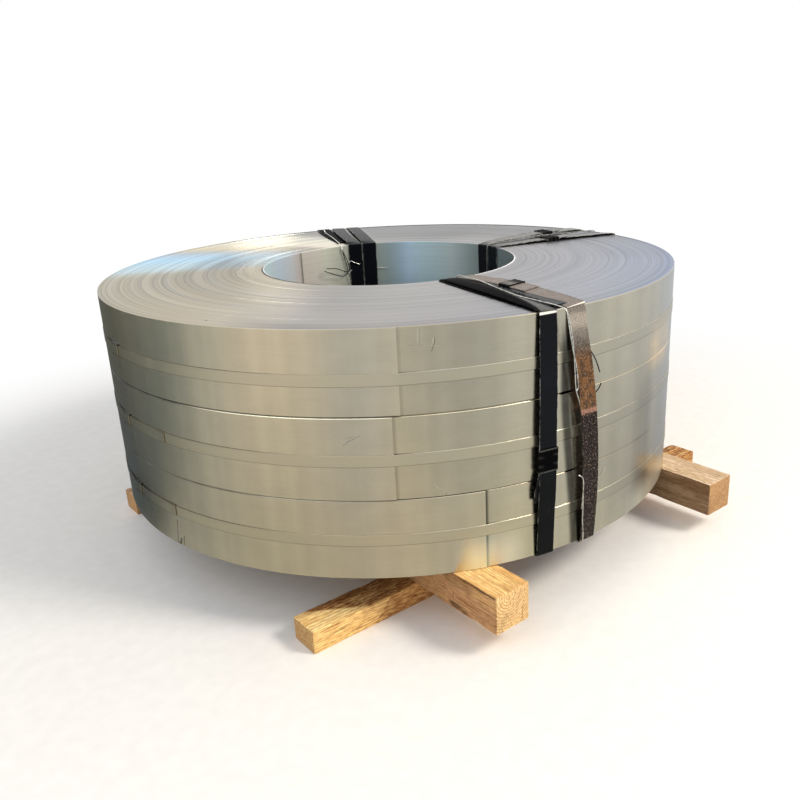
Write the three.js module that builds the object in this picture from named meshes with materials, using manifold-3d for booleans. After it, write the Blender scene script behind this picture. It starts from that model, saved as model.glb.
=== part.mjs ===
// Three slit steel coils stacked eye to the sky on crossed timbers and strapped through the eye.
// Millimetres, +Z up. The origin is on the floor, on the coils' axis. +X runs along the two lower
// runners and +Y along the two upper bearers.
import * as THREE from 'three';
import { mergeVertices } from 'three/addons/utils/BufferGeometryUtils.js';
import Module from 'manifold-3d';

const wasm = await Module();
wasm.setup();

// ---- driving dimensions -------------------------------------------------------------------------
const seatGap = 0.3;             // between pieces that rest on or lie round each other

const coilNames = ['bottom', 'middle', 'top'];
const coilOuterRadius = 562;
const boreRadius = 254;          // wound on a 508 mm (20 in) mandrel
const coilWidth = 133;           // slit width of the strip
const lapThickness = 1.2;        // the strip, seen as the step at each tail
const coilFacets = 72;
const outerTailAngles = [-113, -126.9, -125.6];   // where each coil's last lap ends, bottom to top
const innerTailAngle = 104;      // where the first lap starts, in the bore
const lapRelief = 0.6;           // how far a proud or low group of laps stands from its neighbours
const lowLapGroups = [[286, 304], [372, 396], [478, 503]];   // their radii

const beltWidth = 19;            // strap round the outside of each coil
const beltThickness = 0.8;
const beltDrops = [66.5, 68, 76];   // from each coil's top edge to its belt's middle, bottom to top
const beltSealAngle = 177;
const beltSealLength = 32;
const beltTail = 142;            // loose end past the seal
const beltFoot = 26;             // covered end before the seal

const strapWidth = 32;           // straps through the eye
const strapThickness = 0.9;
const strapBend = 1.5;           // inside radius at the coil's edges
const strapFoot = 45;            // covered end before the seal
const strapSealLength = 38;
const sealWall = 0.9;
const sealSlack = 0.5;           // round the straps inside a seal
const wireDiameter = 3;          // tie wires beside the straps
const wireFoot = 12;
const wireTail = 18;
const wireBends = { over: 3, beside: 1.5 };   // where a wire crosses the straps, and where it runs clear

const bearerLength = 1180;       // upper timbers, along Y
const bearerWidth = 70;
const bearerHeight = 65;
const bearerCentres = [-234.5, 320];
const runnerLength = 1005;       // lower timbers, along X
const runnerWidth = 60;
const runnerHeight = 40;
const runnerCentres = [[32, -365], [0, 303]];   // the middle of each, x then y
const timberChamfer = 2;

// Angles are the middle of the band where it leaves the bore and the rim, at the top and at the foot.
// Bows are how far a slack run stands off. seal.run says which run the crimped seal is on, and
// seal.at is how far it lies in from the rim on the top run, or below the top edge on the outer run.
const straps = [
  { name: 'strap_front_black', colour: 0x1b1c20, bore: [-102.3, -102.3], rim: [-102.3, -102.6],
    topBow: 7, outerBow: 6, seal: { run: 'outer', at: 232 }, tail: 62, lift: 3 },
  { name: 'strap_front_rusty', colour: 0x6b4a35, bore: [-94.5, -94.3], rim: [-97.2, -93.6],
    topBow: 5, outerBow: 10, seal: { run: 'top', at: 164 }, tail: 54, lift: 3 },
  { name: 'strap_back_left', colour: 0x1b1c20, bore: [71.7, 71.7], rim: [67.5, 68],
    topBow: 4, outerBow: 5, seal: { run: 'outer', at: 210 }, tail: 50, lift: 2 },
  { name: 'strap_back_right', colour: 0x1b1c20, bore: [64.1, 64.1], rim: [63.6, 63.4],
    topBow: 4, outerBow: 4, seal: { run: 'outer', at: 165 }, tail: 44, lift: 2 },
  { name: 'strap_right_rear', colour: 0x1b1c20, bore: [-2.4, -2.4], rim: [-1.4, -1.4],
    topBow: 5, outerBow: 4, seal: { run: 'top', at: 118 }, tail: 40, lift: 3 },
  { name: 'strap_right_front', colour: 0x1b1c20, bore: [-10.3, -10.3], rim: [-13, -12.6],
    topBow: 6, outerBow: 4, seal: { run: 'top', at: 162 }, tail: 46, lift: 3 },
];
const wires = [
  { name: 'tie_wire_front', lies: 'over', bore: [-98.4, -98.4], rim: [-99.8, -98.4], topBow: 9,
    outerBow: 5, seal: { run: 'outer', at: 165 } },
  { name: 'tie_wire_back', lies: 'beside', bore: [77.6, 77], rim: [71, 71.5], topBow: 6,
    outerBow: 4, seal: { run: 'outer', at: 120 } },
  { name: 'tie_wire_right', lies: 'over', bore: [-6.3, -6.3], rim: [-7, -6.8], topBow: 8,
    outerBow: 4, seal: { run: 'outer', at: 250 } },
];

// ---- levels and radii that follow from them -----------------------------------------------------
const bearerFoot = runnerHeight + seatGap;
const bearerTop = bearerFoot + bearerHeight;
const stackFoot = bearerTop + seatGap;
const coilPitch = coilWidth + seatGap;
const stackTop = stackFoot + coilNames.length * coilPitch - seatGap;
const wireOver = strapThickness + seatGap;   // the tie wires lie over the straps' level
const facetShrink = Math.cos(Math.PI / coilFacets);
const beltInnerRadius = (coilOuterRadius + seatGap) / facetShrink;
const beltOuterRadius = beltInnerRadius + beltThickness;

const radians = THREE.MathUtils.degToRad;
const mix = THREE.MathUtils.lerp;

const steel = new THREE.MeshStandardMaterial({ color: 0xa9a594, roughness: 0.35, metalness: 0.9 });
const beltSteel = new THREE.MeshStandardMaterial({ color: 0xb4b1a4, roughness: 0.3, metalness: 0.9 });
const wireSteel = new THREE.MeshStandardMaterial({ color: 0xb9b7ae, roughness: 0.4, metalness: 0.9 });
const pine = new THREE.MeshStandardMaterial({ color: 0xc89a5c, roughness: 0.8, metalness: 0 });
const strapSteel = (colour) =>
  new THREE.MeshStandardMaterial({ color: colour, roughness: 0.4, metalness: 0.5 });

// ---- shared shapes ------------------------------------------------------------------------------
function toSolid(geometry) {
  const bare = geometry.clone();
  bare.deleteAttribute('normal');
  bare.deleteAttribute('uv');
  const merged = mergeVertices(bare, 1e-4);
  const vertProperties = new Float32Array(merged.attributes.position.array);
  const triVerts = new Uint32Array(merged.index.array);
  return new wasm.Manifold(new wasm.Mesh({ numProp: 3, vertProperties, triVerts }));
}

function toGeometry(solid) {
  const mesh = solid.getMesh();
  const geometry = new THREE.BufferGeometry();
  geometry.setAttribute('position', new THREE.BufferAttribute(new Float32Array(mesh.vertProperties), 3));
  geometry.setIndex(new THREE.BufferAttribute(new Uint32Array(mesh.triVerts), 1));
  geometry.computeVertexNormals();
  return geometry;
}

function extrude(shape, depth, z = 0) {
  const geometry = new THREE.ExtrudeGeometry(shape, { depth, bevelEnabled: false });
  return geometry.translate(0, 0, z);
}

function circlePoint(radius, degrees) {
  return new THREE.Vector2(radius * Math.cos(radians(degrees)), radius * Math.sin(radians(degrees)));
}

// One turn of a spiral whose radius grows by one lap from its tail round to the tail again.
function spiralOutline(largeRadius, tailAngle) {
  const points = [];
  for (let i = 0; i <= coilFacets; i++) {
    const turn = i / coilFacets;
    points.push(circlePoint(largeRadius - lapThickness * (1 - turn), tailAngle + 360 * turn));
  }
  return new THREE.Shape(points);
}

// Closed outline of a strip of one thickness that follows an open path.
function bandShape(path, thickness) {
  const left = [];
  const right = [];
  path.forEach((point, i) => {
    const before = path[Math.max(i - 1, 0)];
    const after = path[Math.min(i + 1, path.length - 1)];
    const along = after.clone().sub(before).normalize();
    const outward = new THREE.Vector2(-along.y, along.x).multiplyScalar(thickness / 2);
    left.push(point.clone().add(outward));
    right.unshift(point.clone().sub(outward));
  });
  return new THREE.Shape([...left, ...right]);
}

// ---- coils --------------------------------------------------------------------------------------
// Closed ring profile whose upper end steps down over the low groups of laps.
function coilProfile() {
  const spare = 4;
  const inner = boreRadius - spare;
  const outer = coilOuterRadius + spare;
  const points = [[inner, 0], [outer, 0], [outer, coilWidth]];
  for (const [from, to] of [...lowLapGroups].reverse()) {
    points.push([to, coilWidth], [to, coilWidth - lapRelief]);
    points.push([from, coilWidth - lapRelief], [from, coilWidth]);
  }
  points.push([inner, coilWidth], [inner, 0]);
  return points.map(([r, z]) => new THREE.Vector2(r, z));
}

function coil(index) {
  const turned = new THREE.LatheGeometry(coilProfile(), coilFacets);
  turned.rotateX(Math.PI / 2);
  const margin = 5;
  const height = coilWidth + 2 * margin;
  const outside = extrude(spiralOutline(coilOuterRadius, outerTailAngles[index]), height, -margin);
  const eye = extrude(spiralOutline(boreRadius + lapThickness, innerTailAngle), height, -margin);
  const solid = toSolid(turned).intersect(toSolid(outside)).subtract(toSolid(eye));
  return toGeometry(solid).translate(0, 0, stackFoot + index * coilPitch);
}

// ---- belts round the coils ----------------------------------------------------------------------
const degreesAlong = (length) => (length / beltOuterRadius) * (180 / Math.PI);

function beltMiddle(index) {
  return stackFoot + index * coilPitch + coilWidth - beltDrops[index];
}

// The belt starts under its own end, goes round once and ends on top of itself past the seal.
function belt(index) {
  const start = beltSealAngle - degreesAlong(beltFoot);
  const end = beltSealAngle + 360 + degreesAlong(beltTail);
  const layerStep = (beltThickness + seatGap) / facetShrink;
  const rampTurn = 360 / coilFacets;
  const path = [];
  const count = Math.ceil((end - start) / rampTurn);
  for (let i = 0; i <= count; i++) {
    const angle = mix(start, end, i / count);
    const raised = THREE.MathUtils.clamp((angle - start - 360) / rampTurn + 1, 0, 1);
    path.push(circlePoint(beltInnerRadius + beltThickness / 2 + raised * layerStep, angle));
  }
  const bottom = beltMiddle(index) - beltWidth / 2;
  return extrude(bandShape(path.reverse(), beltThickness), beltWidth, bottom);
}

// ---- straps and wires through the eye -----------------------------------------------------------
const bow = (depth, u) => depth * 4 * u * (1 - u);

// Their loop in the plane of radius and height, clockwise from the foot of the bore.
function eyeLoop(band) {
  const half = band.thickness / 2;
  const bend = band.bend + half;
  const boreFlat = Math.sqrt((boreRadius * facetShrink) ** 2 - (band.width / 2) ** 2);
  const inner = boreFlat - seatGap - half - band.standOff;
  const outer = beltOuterRadius + seatGap + half + band.standOff;
  const top = stackTop + seatGap + half + band.standOff;
  const foot = stackFoot - seatGap - half - band.standOff;
  const points = [new THREE.Vector2(inner, foot + bend)];
  const arc = (centreR, centreZ, from) => {
    for (let i = 0; i <= 3; i++) {
      points.push(circlePoint(bend, from - 30 * i).add(new THREE.Vector2(centreR, centreZ)));
    }
  };
  const bowSteps = 10;
  arc(inner + bend, top - bend, 180);
  for (let i = 1; i < bowSteps; i++) {
    const u = i / bowSteps;
    points.push(new THREE.Vector2(mix(inner + bend, outer - bend, u), top + bow(band.topBow, u)));
  }
  arc(outer - bend, top - bend, 90);
  for (let i = 1; i < bowSteps; i++) {
    const u = i / bowSteps;
    points.push(new THREE.Vector2(outer + bow(band.outerBow, u), mix(top - bend, foot + bend, u)));
  }
  arc(outer - bend, foot + bend, 0);
  arc(inner + bend, foot + bend, -90);
  return { points, inner, outer, top, foot };
}

// Distances along the closed loop, with the point and the outward direction at any distance.
function measureLoop(points) {
  const starts = [0];
  points.forEach((point, i) => {
    starts.push(starts[i] + point.distanceTo(points[(i + 1) % points.length]));
  });
  const length = starts[points.length];
  const at = (distance) => {
    const wrapped = ((distance % length) + length) % length;
    const i = Math.max(starts.findIndex((s) => s > wrapped) - 1, 0);
    const next = points[(i + 1) % points.length];
    const share = (wrapped - starts[i]) / (starts[i + 1] - starts[i]);
    const along = next.clone().sub(points[i]).normalize();
    return { point: points[i].clone().lerp(next, share), along, out: new THREE.Vector2(-along.y, along.x) };
  };
  return { starts, length, at };
}

function sealDistance(band, measured) {
  const onTop = band.seal.run === 'top';
  const target = onTop ? coilOuterRadius - band.seal.at : stackTop - band.seal.at;
  for (let d = 0; d < measured.length; d += 0.5) {
    const { point, along } = measured.at(d);
    const reached = onTop ? point.x >= target && along.x > 0.5 : point.y <= target && along.y < -0.5;
    if (reached) return d;
  }
  return 0;
}

// The band starts under its own end, goes once round the loop and ends on top of itself.
function overlappedPath(band, measured, sealAt) {
  const { starts, length, at } = measured;
  const layerStep = band.thickness + seatGap;
  const ramp = 24;               // length over which the second layer climbs onto the first
  const from = sealAt - band.foot;
  const to = sealAt + length + band.tail;
  const stops = [from, to];
  for (let pass = -1; pass <= 2; pass++) {
    starts.slice(0, -1).forEach((s) => stops.push(s + pass * length));
  }
  const tailSteps = 6;
  for (let i = 0; i < tailSteps; i++) stops.push(sealAt + length + (band.tail * i) / tailSteps);
  stops.push(from + length - ramp, from + length - 1);
  const inside = stops.filter((s) => s >= from && s <= to).sort((a, b) => a - b);
  const apart = inside.filter((s, i) => i === 0 || s - inside[i - 1] > 0.4);
  return apart.map((distance) => {
    const { point, out } = at(distance);
    const raised = THREE.MathUtils.clamp((distance - from - length) / ramp + 1, 0, 1);
    const past = Math.max(distance - sealAt - length - strapSealLength / 2, 0) / band.tail;
    return point.addScaledVector(out, raised * layerStep + band.lift * past * past);
  });
}

// From the plane of radius, height and sideways into place, at the angle that the band has there.
function wrapIntoPlace(geometry, band, loop) {
  const position = geometry.attributes.position;
  for (let i = 0; i < position.count; i++) {
    const radius = position.getX(i);
    const height = position.getY(i);
    const sideways = -position.getZ(i);
    const u = THREE.MathUtils.clamp((radius - loop.inner) / (loop.outer - loop.inner), 0, 1);
    const v = THREE.MathUtils.clamp((height - loop.foot) / (loop.top - loop.foot), 0, 1);
    const rimAngle = mix(band.rim[1], band.rim[0], v * v);
    const boreAngle = mix(band.bore[1], band.bore[0], v);
    const angle = radians(mix(boreAngle, rimAngle, u));
    const x = radius * Math.cos(angle) - sideways * Math.sin(angle);
    const y = radius * Math.sin(angle) + sideways * Math.cos(angle);
    position.setXYZ(i, x, y, height);
  }
  geometry.computeVertexNormals();
  return geometry;
}

function eyeBand(band) {
  const loop = eyeLoop(band);
  const measured = measureLoop(loop.points);
  const sealAt = sealDistance(band, measured);
  const path = overlappedPath(band, measured, sealAt);
  const edge = band.edge;
  const geometry = new THREE.ExtrudeGeometry(bandShape(path, band.thickness - 2 * edge), {
    depth: band.width - 2 * edge,
    bevelEnabled: edge > 0,
    bevelSize: edge,
    bevelThickness: edge,
    bevelSegments: 1,
  });
  geometry.translate(0, 0, edge - band.width / 2);
  return { geometry: wrapIntoPlace(geometry, band, loop), loop, measured, sealAt };
}

// Flat sleeve crimped over the two layers of a strap.
function sleeveShape(width, height) {
  const corners = [[-0.5, -0.5], [0.5, -0.5], [0.5, 0.5], [-0.5, 0.5]];
  const rectangle = (w, h) => corners.map(([x, y]) => new THREE.Vector2(x * w, y * h));
  const opening = [width + 2 * sealSlack, height + 2 * seatGap];
  const shape = new THREE.Shape(rectangle(opening[0] + 2 * sealWall, opening[1] + 2 * sealWall));
  shape.holes.push(new THREE.Path(rectangle(...opening).reverse()));
  return shape;
}

function strapSeal(band, { loop, measured, sealAt }) {
  const layers = 2 * band.thickness + seatGap;
  const sleeve = extrude(sleeveShape(band.width, layers), strapSealLength, -strapSealLength / 2);
  const entry = measured.at(sealAt - strapSealLength / 2).point;
  const exit = measured.at(sealAt + strapSealLength / 2).point;
  const along = exit.clone().sub(entry).normalize();
  const out = new THREE.Vector2(-along.y, along.x);
  const middle = entry.lerp(exit, 0.5).addScaledVector(out, (band.thickness + seatGap) / 2);
  const place = new THREE.Matrix4().makeBasis(
    new THREE.Vector3(0, 0, -1),
    new THREE.Vector3(out.x, out.y, 0),
    new THREE.Vector3(along.x, along.y, 0),
  );
  if (place.determinant() < 0) place.multiply(new THREE.Matrix4().makeScale(-1, 1, 1));
  place.setPosition(middle.x, middle.y, 0);
  return wrapIntoPlace(sleeve.applyMatrix4(place), band, loop);
}

// Channel pressed over the belt's two layers, its legs down to the coil's side of the belt.
function channelShape(width, height) {
  const w = width / 2 + seatGap;
  const top = height + seatGap;
  return new THREE.Shape([
    [-w - sealWall, 0], [-w, 0], [-w, top], [w, top], [w, 0], [w + sealWall, 0],
    [w + sealWall, top + sealWall], [-w - sealWall, top + sealWall],
  ].map(([x, y]) => new THREE.Vector2(x, y)));
}

function beltSeal(index) {
  const layers = 2 * beltThickness + seatGap;
  const channel = extrude(channelShape(beltWidth, layers), beltSealLength, -beltSealLength / 2);
  const place = new THREE.Matrix4().makeBasis(
    new THREE.Vector3(0, 0, 1),
    new THREE.Vector3(1, 0, 0),
    new THREE.Vector3(0, 1, 0),
  );
  place.setPosition(beltInnerRadius, 0, beltMiddle(index));
  return channel.applyMatrix4(place).rotateZ(radians(beltSealAngle));
}

// ---- timbers ------------------------------------------------------------------------------------
function timber(length, width, height) {
  const w = width / 2;
  const c = timberChamfer;
  const section = new THREE.Shape([
    [-w + c, 0], [w - c, 0], [w, c], [w, height - c],
    [w - c, height], [-w + c, height], [-w, height - c], [-w, c],
  ].map(([x, y]) => new THREE.Vector2(x, y)));
  return extrude(section, length, -length / 2).rotateX(Math.PI / 2);
}

// The load presses each strap or wire that runs under the coils into the timber's top.
function imprint(band, width, depth, centre) {
  const start = circlePoint(boreRadius, band.bore[1]);
  const run = circlePoint(coilOuterRadius, band.rim[1]).sub(start);
  const crossing = start.addScaledVector(run, (centre - start.x) / run.x);
  const cutter = new THREE.BoxGeometry(bearerWidth + 40, width + 6, depth * 2);
  return cutter.rotateZ(run.angle()).translate(crossing.x, crossing.y, bearerTop);
}

function bearer(index) {
  const centre = bearerCentres[index];
  const plain = timber(bearerLength, bearerWidth, bearerHeight).translate(centre, 0, bearerFoot);
  const crosses = (band) => Math.sign(Math.cos(radians(band.rim[1]))) === Math.sign(centre)
    && Math.abs(Math.sin(radians(band.rim[1]))) < 0.5;
  let solid = toSolid(plain);
  for (const band of straps.filter(crosses)) {
    solid = solid.subtract(toSolid(imprint(band, strapWidth, strapThickness + 2 * seatGap, centre)));
  }
  for (const band of wires.filter(crosses)) {
    const depth = wireOver + wireDiameter + 2 * seatGap;
    solid = solid.subtract(toSolid(imprint(band, wireDiameter, depth, centre)));
  }
  return toGeometry(solid);
}

function runner(index) {
  const [x, y] = runnerCentres[index];
  return timber(runnerLength, runnerWidth, runnerHeight).rotateZ(Math.PI / 2).translate(x, y, 0);
}

// ---- assembly -----------------------------------------------------------------------------------
const group = new THREE.Group();
group.name = 'strapped_slit_coil_stack';

function add(name, geometry, material) {
  const mesh = new THREE.Mesh(geometry, material);
  mesh.name = name;
  group.add(mesh);
}

coilNames.forEach((name, i) => {
  add(`coil_${name}`, coil(i), steel.clone());
  add(`belt_${name}`, belt(i), beltSteel.clone());
  add(`belt_seal_${name}`, beltSeal(i), beltSteel.clone());
});

for (const settings of straps) {
  const band = { ...settings, width: strapWidth, thickness: strapThickness, bend: strapBend,
    standOff: 0, foot: strapFoot, edge: 0 };
  const made = eyeBand(band);
  add(band.name, made.geometry, strapSteel(band.colour));
  add(band.name.replace('strap', 'strap_seal'), strapSeal(band, made), strapSteel(band.colour));
}

for (const settings of wires) {
  const octagonEdge = wireDiameter * (1 - Math.SQRT1_2);
  const band = { ...settings, width: wireDiameter, thickness: wireDiameter, bend: wireBends[settings.lies],
    standOff: settings.lies === 'over' ? wireOver : 0, foot: wireFoot, tail: wireTail, lift: 0,
    edge: octagonEdge };
  add(band.name, eyeBand(band).geometry, wireSteel.clone());
}

['left', 'right'].forEach((side, i) => add(`bearer_${side}`, bearer(i), pine.clone()));
['front', 'back'].forEach((side, i) => add(`runner_${side}`, runner(i), pine.clone()));

export default group;
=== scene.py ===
import math
import random

import bmesh
import bpy
from mathutils import Matrix, Vector, noise


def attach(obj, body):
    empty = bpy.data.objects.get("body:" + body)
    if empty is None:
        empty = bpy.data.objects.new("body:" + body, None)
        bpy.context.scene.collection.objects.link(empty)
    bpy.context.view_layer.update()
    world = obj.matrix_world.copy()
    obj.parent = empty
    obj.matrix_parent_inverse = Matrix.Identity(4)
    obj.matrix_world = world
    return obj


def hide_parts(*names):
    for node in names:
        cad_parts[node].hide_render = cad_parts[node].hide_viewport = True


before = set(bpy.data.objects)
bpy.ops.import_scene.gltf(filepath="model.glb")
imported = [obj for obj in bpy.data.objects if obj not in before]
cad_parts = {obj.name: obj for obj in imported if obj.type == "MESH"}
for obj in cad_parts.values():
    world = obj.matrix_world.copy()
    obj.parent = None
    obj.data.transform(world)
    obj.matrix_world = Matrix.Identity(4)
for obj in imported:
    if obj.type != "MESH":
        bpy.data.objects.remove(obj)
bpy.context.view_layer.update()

mm = 0.001

# Shared sizes of the stack, in metres. Every piece below is placed from these.
stack = {
    "outerRadius": 0.562,
    "boreRadius": 0.254,
    "coilWidth": 0.133,
    "coilPitch": 0.1333,
    "foot": 0.1056,
    "top": 0.5052,
    "lap": 0.0012,
    "seatGap": 0.0003,
    "beltOuter": 0.56364,
}


def linearColor(hexText):
    channels = []
    for i in (1, 3, 5):
        value = int(hexText[i:i + 2], 16) / 255
        channels.append(value / 12.92 if value <= 0.04045 else ((value + 0.055) / 1.055) ** 2.4)
    return (*channels, 1.0)


def clamp(value, low=0.0, high=1.0):
    return max(low, min(high, value))


def mix(a, b, share):
    return a + (b - a) * share


def smooth(low, high, value):
    share = clamp((value - low) / (high - low))
    return share * share * (3 - 2 * share)


# Settings a kind of node takes unless others are given, and the output it hands on if it isn't the first.
usualSettings = {"MapRange": {"interpolation_type": "SMOOTHSTEP"}, "Mix": {"data_type": "RGBA"}}
usualOutputs = {"Mix": 2, "VectorMath": 1, "Attribute": 2}


# Adds one node with its settings and links, and returns an output. Values go to the inputs in order, where
# None leaves one as it is, or by key from a dictionary. A kind in capitals is an operation of the Math node.
def addNode(owner, kind, *values, output=None, stops=(), **settings):
    tree = owner.node_tree
    node = tree.nodes.new("ShaderNodeMath" if kind.isupper() else "ShaderNode" + kind)
    if kind.isupper():
        node.operation = kind
    for name, value in {**usualSettings.get(kind, {}), **settings}.items():
        setattr(node, name, value)
    for key, value in values[0].items() if values and isinstance(values[0], dict) else enumerate(values):
        if isinstance(value, bpy.types.NodeSocket):
            tree.links.new(value, node.inputs[key])
        elif value is not None:
            node.inputs[key].default_value = value
    if stops:
        elements = node.color_ramp.elements
        while len(elements) < len(stops):
            elements.new(0.5)
        for element, (position, color) in zip(elements, stops):
            element.position, element.color = position, linearColor(color)
    return node.outputs[usualOutputs.get(kind, 0) if output is None else output]


def newMaterial(name, metallic, roughness, extra=None):
    material = bpy.data.materials.new(name)
    material.use_nodes = True
    shader = material.node_tree.nodes["Principled BSDF"]
    for key, value in {"Metallic": metallic, "Roughness": roughness, **(extra or {})}.items():
        shader.inputs[key].default_value = value
    return material, shader


# One even colour without a pattern.
def plainMaterial(name, metallic, roughness, color):
    return newMaterial(name, metallic, roughness, {"Base Color": linearColor(color)})[0]


def plug(material, output, socket):
    material.node_tree.links.new(output, socket)


# Degrees round the stack from +X, from -180 to 180.
def azimuthOf(material):
    x, y, _ = placeParts(material)
    return addNode(material, "DEGREES", addNode(material, "ARCTAN2", y, x))


def placeParts(material):
    return addNode(material, "SeparateXYZ", addNode(material, "TexCoord", output="Object")).node.outputs


# 0 up to start, 1 from full to fade, 0 again from end on.
def between(material, value, start, full, fade, end):
    return addNode(material, "MULTIPLY", addNode(material, "MapRange", value, start, full),
                   addNode(material, "MapRange", value, fade, end, 1.0, 0.0))


# Noise with so many spots a metre along each axis of a place.
def noiseOn(material, place, perMetre, shift=(0, 0, 0), detail=2.0, roughness=0.5):
    spot = addNode(material, "VectorMath", place, perMetre, shift, operation="MULTIPLY_ADD", output=0)
    return addNode(material, "TexNoise", spot, None, 1.0, detail, roughness)


# A tint laid over a colour, as far as the product of the shares says.
def tinted(material, color, tint, *shares):
    share = shares[0]
    for other in shares[1:]:
        share = addNode(material, "MULTIPLY", share, other)
    return addNode(material, "Mix", {0: share, 6: color, 7: linearColor(tint)})


# A colour multiplied by one shade, or by one for each channel.
def shadedBy(material, color, *shades):
    shades = addNode(material, "CombineColor", *(shades * 3 if len(shades) == 1 else shades))
    return addNode(material, "Mix", {0: 1.0, 6: color, 7: shades}, blend_type="MULTIPLY")


# How far a ray comes from the camera, a reflection or through glass, and not from soft light.
def seenDirectly(owner):
    rays = addNode(owner, "LightPath").node.outputs
    seen = addNode(owner, "MAXIMUM", rays["Is Camera Ray"], rays["Is Glossy Ray"])
    return addNode(owner, "MAXIMUM", seen, rays["Is Transmission Ray"])


# Turns a mesh into a piece that rides on the body and replaces the given nodes of the CAD.
def finishPiece(name, bm, materials, nodes, smoothAngle=35):
    bmesh.ops.recalc_face_normals(bm, faces=bm.faces)
    mesh = bpy.data.meshes.new(name)
    bm.to_mesh(mesh)
    bm.free()
    for material in materials:
        mesh.materials.append(material)
    piece = bpy.data.objects.new(name, mesh)
    bpy.context.scene.collection.objects.link(piece)
    mesh.shade_smooth()
    mesh.set_sharp_from_angle(angle=math.radians(smoothAngle))
    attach(piece, "root")
    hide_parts(*nodes)


# The layers for places on the surface and for the shade or wear of each vertex.
def layersOf(bm):
    return bm.loops.layers.uv.new("UVMap"), bm.verts.layers.float.new("tone")


# Joins rows of vertices into a skin. Each row is a list of (vertex, u, v).
def skin(bm, rows, uvLayer, closeRows=False, closeStations=False, materialOf=None):
    count = len(rows)
    last = count if closeStations else count - 1
    for i in range(last):
        a, b = rows[i], rows[(i + 1) % count]
        width = len(a) if closeRows else len(a) - 1
        for j in range(width):
            k = (j + 1) % len(a)
            corners = [a[j], b[j], b[k], a[k]]
            face = bm.faces.new([corner[0] for corner in corners])
            for loop, corner in zip(face.loops, corners):
                loop[uvLayer].uv = (corner[1], corner[2])
            if materialOf:
                face.material_index = materialOf(i, j)


# Closes the two ends of a skin whose rows are closed.
def capEnds(bm, rows, uvLayer):
    for row in (rows[0], rows[-1]):
        face = bm.faces.new([corner[0] for corner in row])
        for loop, corner in zip(face.loops, row):
            loop[uvLayer].uv = (corner[1], corner[2])


# A solid drawn along stations of (centre, across, outward, distance), with one closed section of
# (across, outward) points. shape(i, a, o) may change a section point, tone(i, a, o) its shade.
def sweep(bm, stations, section, layers, shape=None, tone=None, materialOf=None):
    uvLayer, toneLayer = layers
    rows = []
    for i, (centre, across, outward, distance) in enumerate(stations):
        row = []
        for a, o in section:
            a2, o2 = shape(i, a, o) if shape else (a, o)
            vertex = bm.verts.new(centre + across * a2 + outward * o2)
            vertex[toneLayer] = tone(i, a, o) if tone else 0.0
            row.append((vertex, distance, a))
        rows.append(row)
    skin(bm, rows, uvLayer, closeRows=True, materialOf=materialOf)
    capEnds(bm, rows, uvLayer)


# A flat strip with cut corners, its wide sides in so many columns.
def stripSection(width, thickness, edge, columns=6):
    w, t = width / 2, thickness / 2
    xs = [mix(-w + edge, w - edge, i / columns) for i in range(columns + 1)]
    return ([(-w, -t + edge), (-w, t - edge)] + [(x, t) for x in xs]
            + [(w, t - edge), (w, -t + edge)] + [(x, -t) for x in reversed(xs)])


def roundSection(radius, sides):
    return [(radius * math.cos(2 * math.pi * i / sides), radius * math.sin(2 * math.pi * i / sides))
            for i in range(sides)]


# Stations along a smooth curve through the given points, its frame carried along without twist.
# The curve's speed follows the square root of each gap, so that it doesn't overshoot at tight bends.
def smoothStations(points, step):
    points = [Vector(p) for p in points]
    dense = []
    for i in range(len(points) - 1):
        p0, p1 = points[max(i - 1, 0)], points[i]
        p2, p3 = points[i + 1], points[min(i + 2, len(points) - 1)]
        span = math.sqrt((p2 - p1).length)
        before, after = math.sqrt((p1 - p0).length) or span, math.sqrt((p3 - p2).length) or span
        leave = ((p1 - p0) / before - (p2 - p0) / (before + span) + (p2 - p1) / span) * span
        arrive = ((p2 - p1) / span - (p3 - p1) / (span + after) + (p3 - p2) / after) * span
        parts = max(2, int((p2 - p1).length / step))
        for k in range(parts):
            t = k / parts
            dense.append(p1 * (1 - 3 * t * t + 2 * t ** 3) + leave * (t - 2 * t * t + t ** 3)
                         + p2 * (3 * t * t - 2 * t ** 3) + arrive * (t ** 3 - t * t))
    dense.append(points[-1])
    stations = []
    across = None
    distance = 0.0
    for i, point in enumerate(dense):
        along = (dense[min(i + 1, len(dense) - 1)] - dense[max(i - 1, 0)]).normalized()
        if across is None:
            across = along.orthogonal().normalized()
        across = (across - along * across.dot(along)).normalized()
        if i:
            distance += (point - dense[i - 1]).length
        stations.append((point, across, along.cross(across), distance))
    return stations


def polar(radius, degrees, z=0.0):
    return Vector((radius * math.cos(math.radians(degrees)), radius * math.sin(math.radians(degrees)), z))


cameraSettings = {
    "place": (-0.96834, -1.33280, 0.77894),
    "heading": 51.72,       # degrees from +X, as are the next two from level
    "down": 19.0146,
    "roll": -2.4833,
    "lens": 36.08,          # millimetres on a sensor 36 mm wide
    "shift": (-0.0335, -0.00746),
    "clip": (0.05, 60),
}


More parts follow.
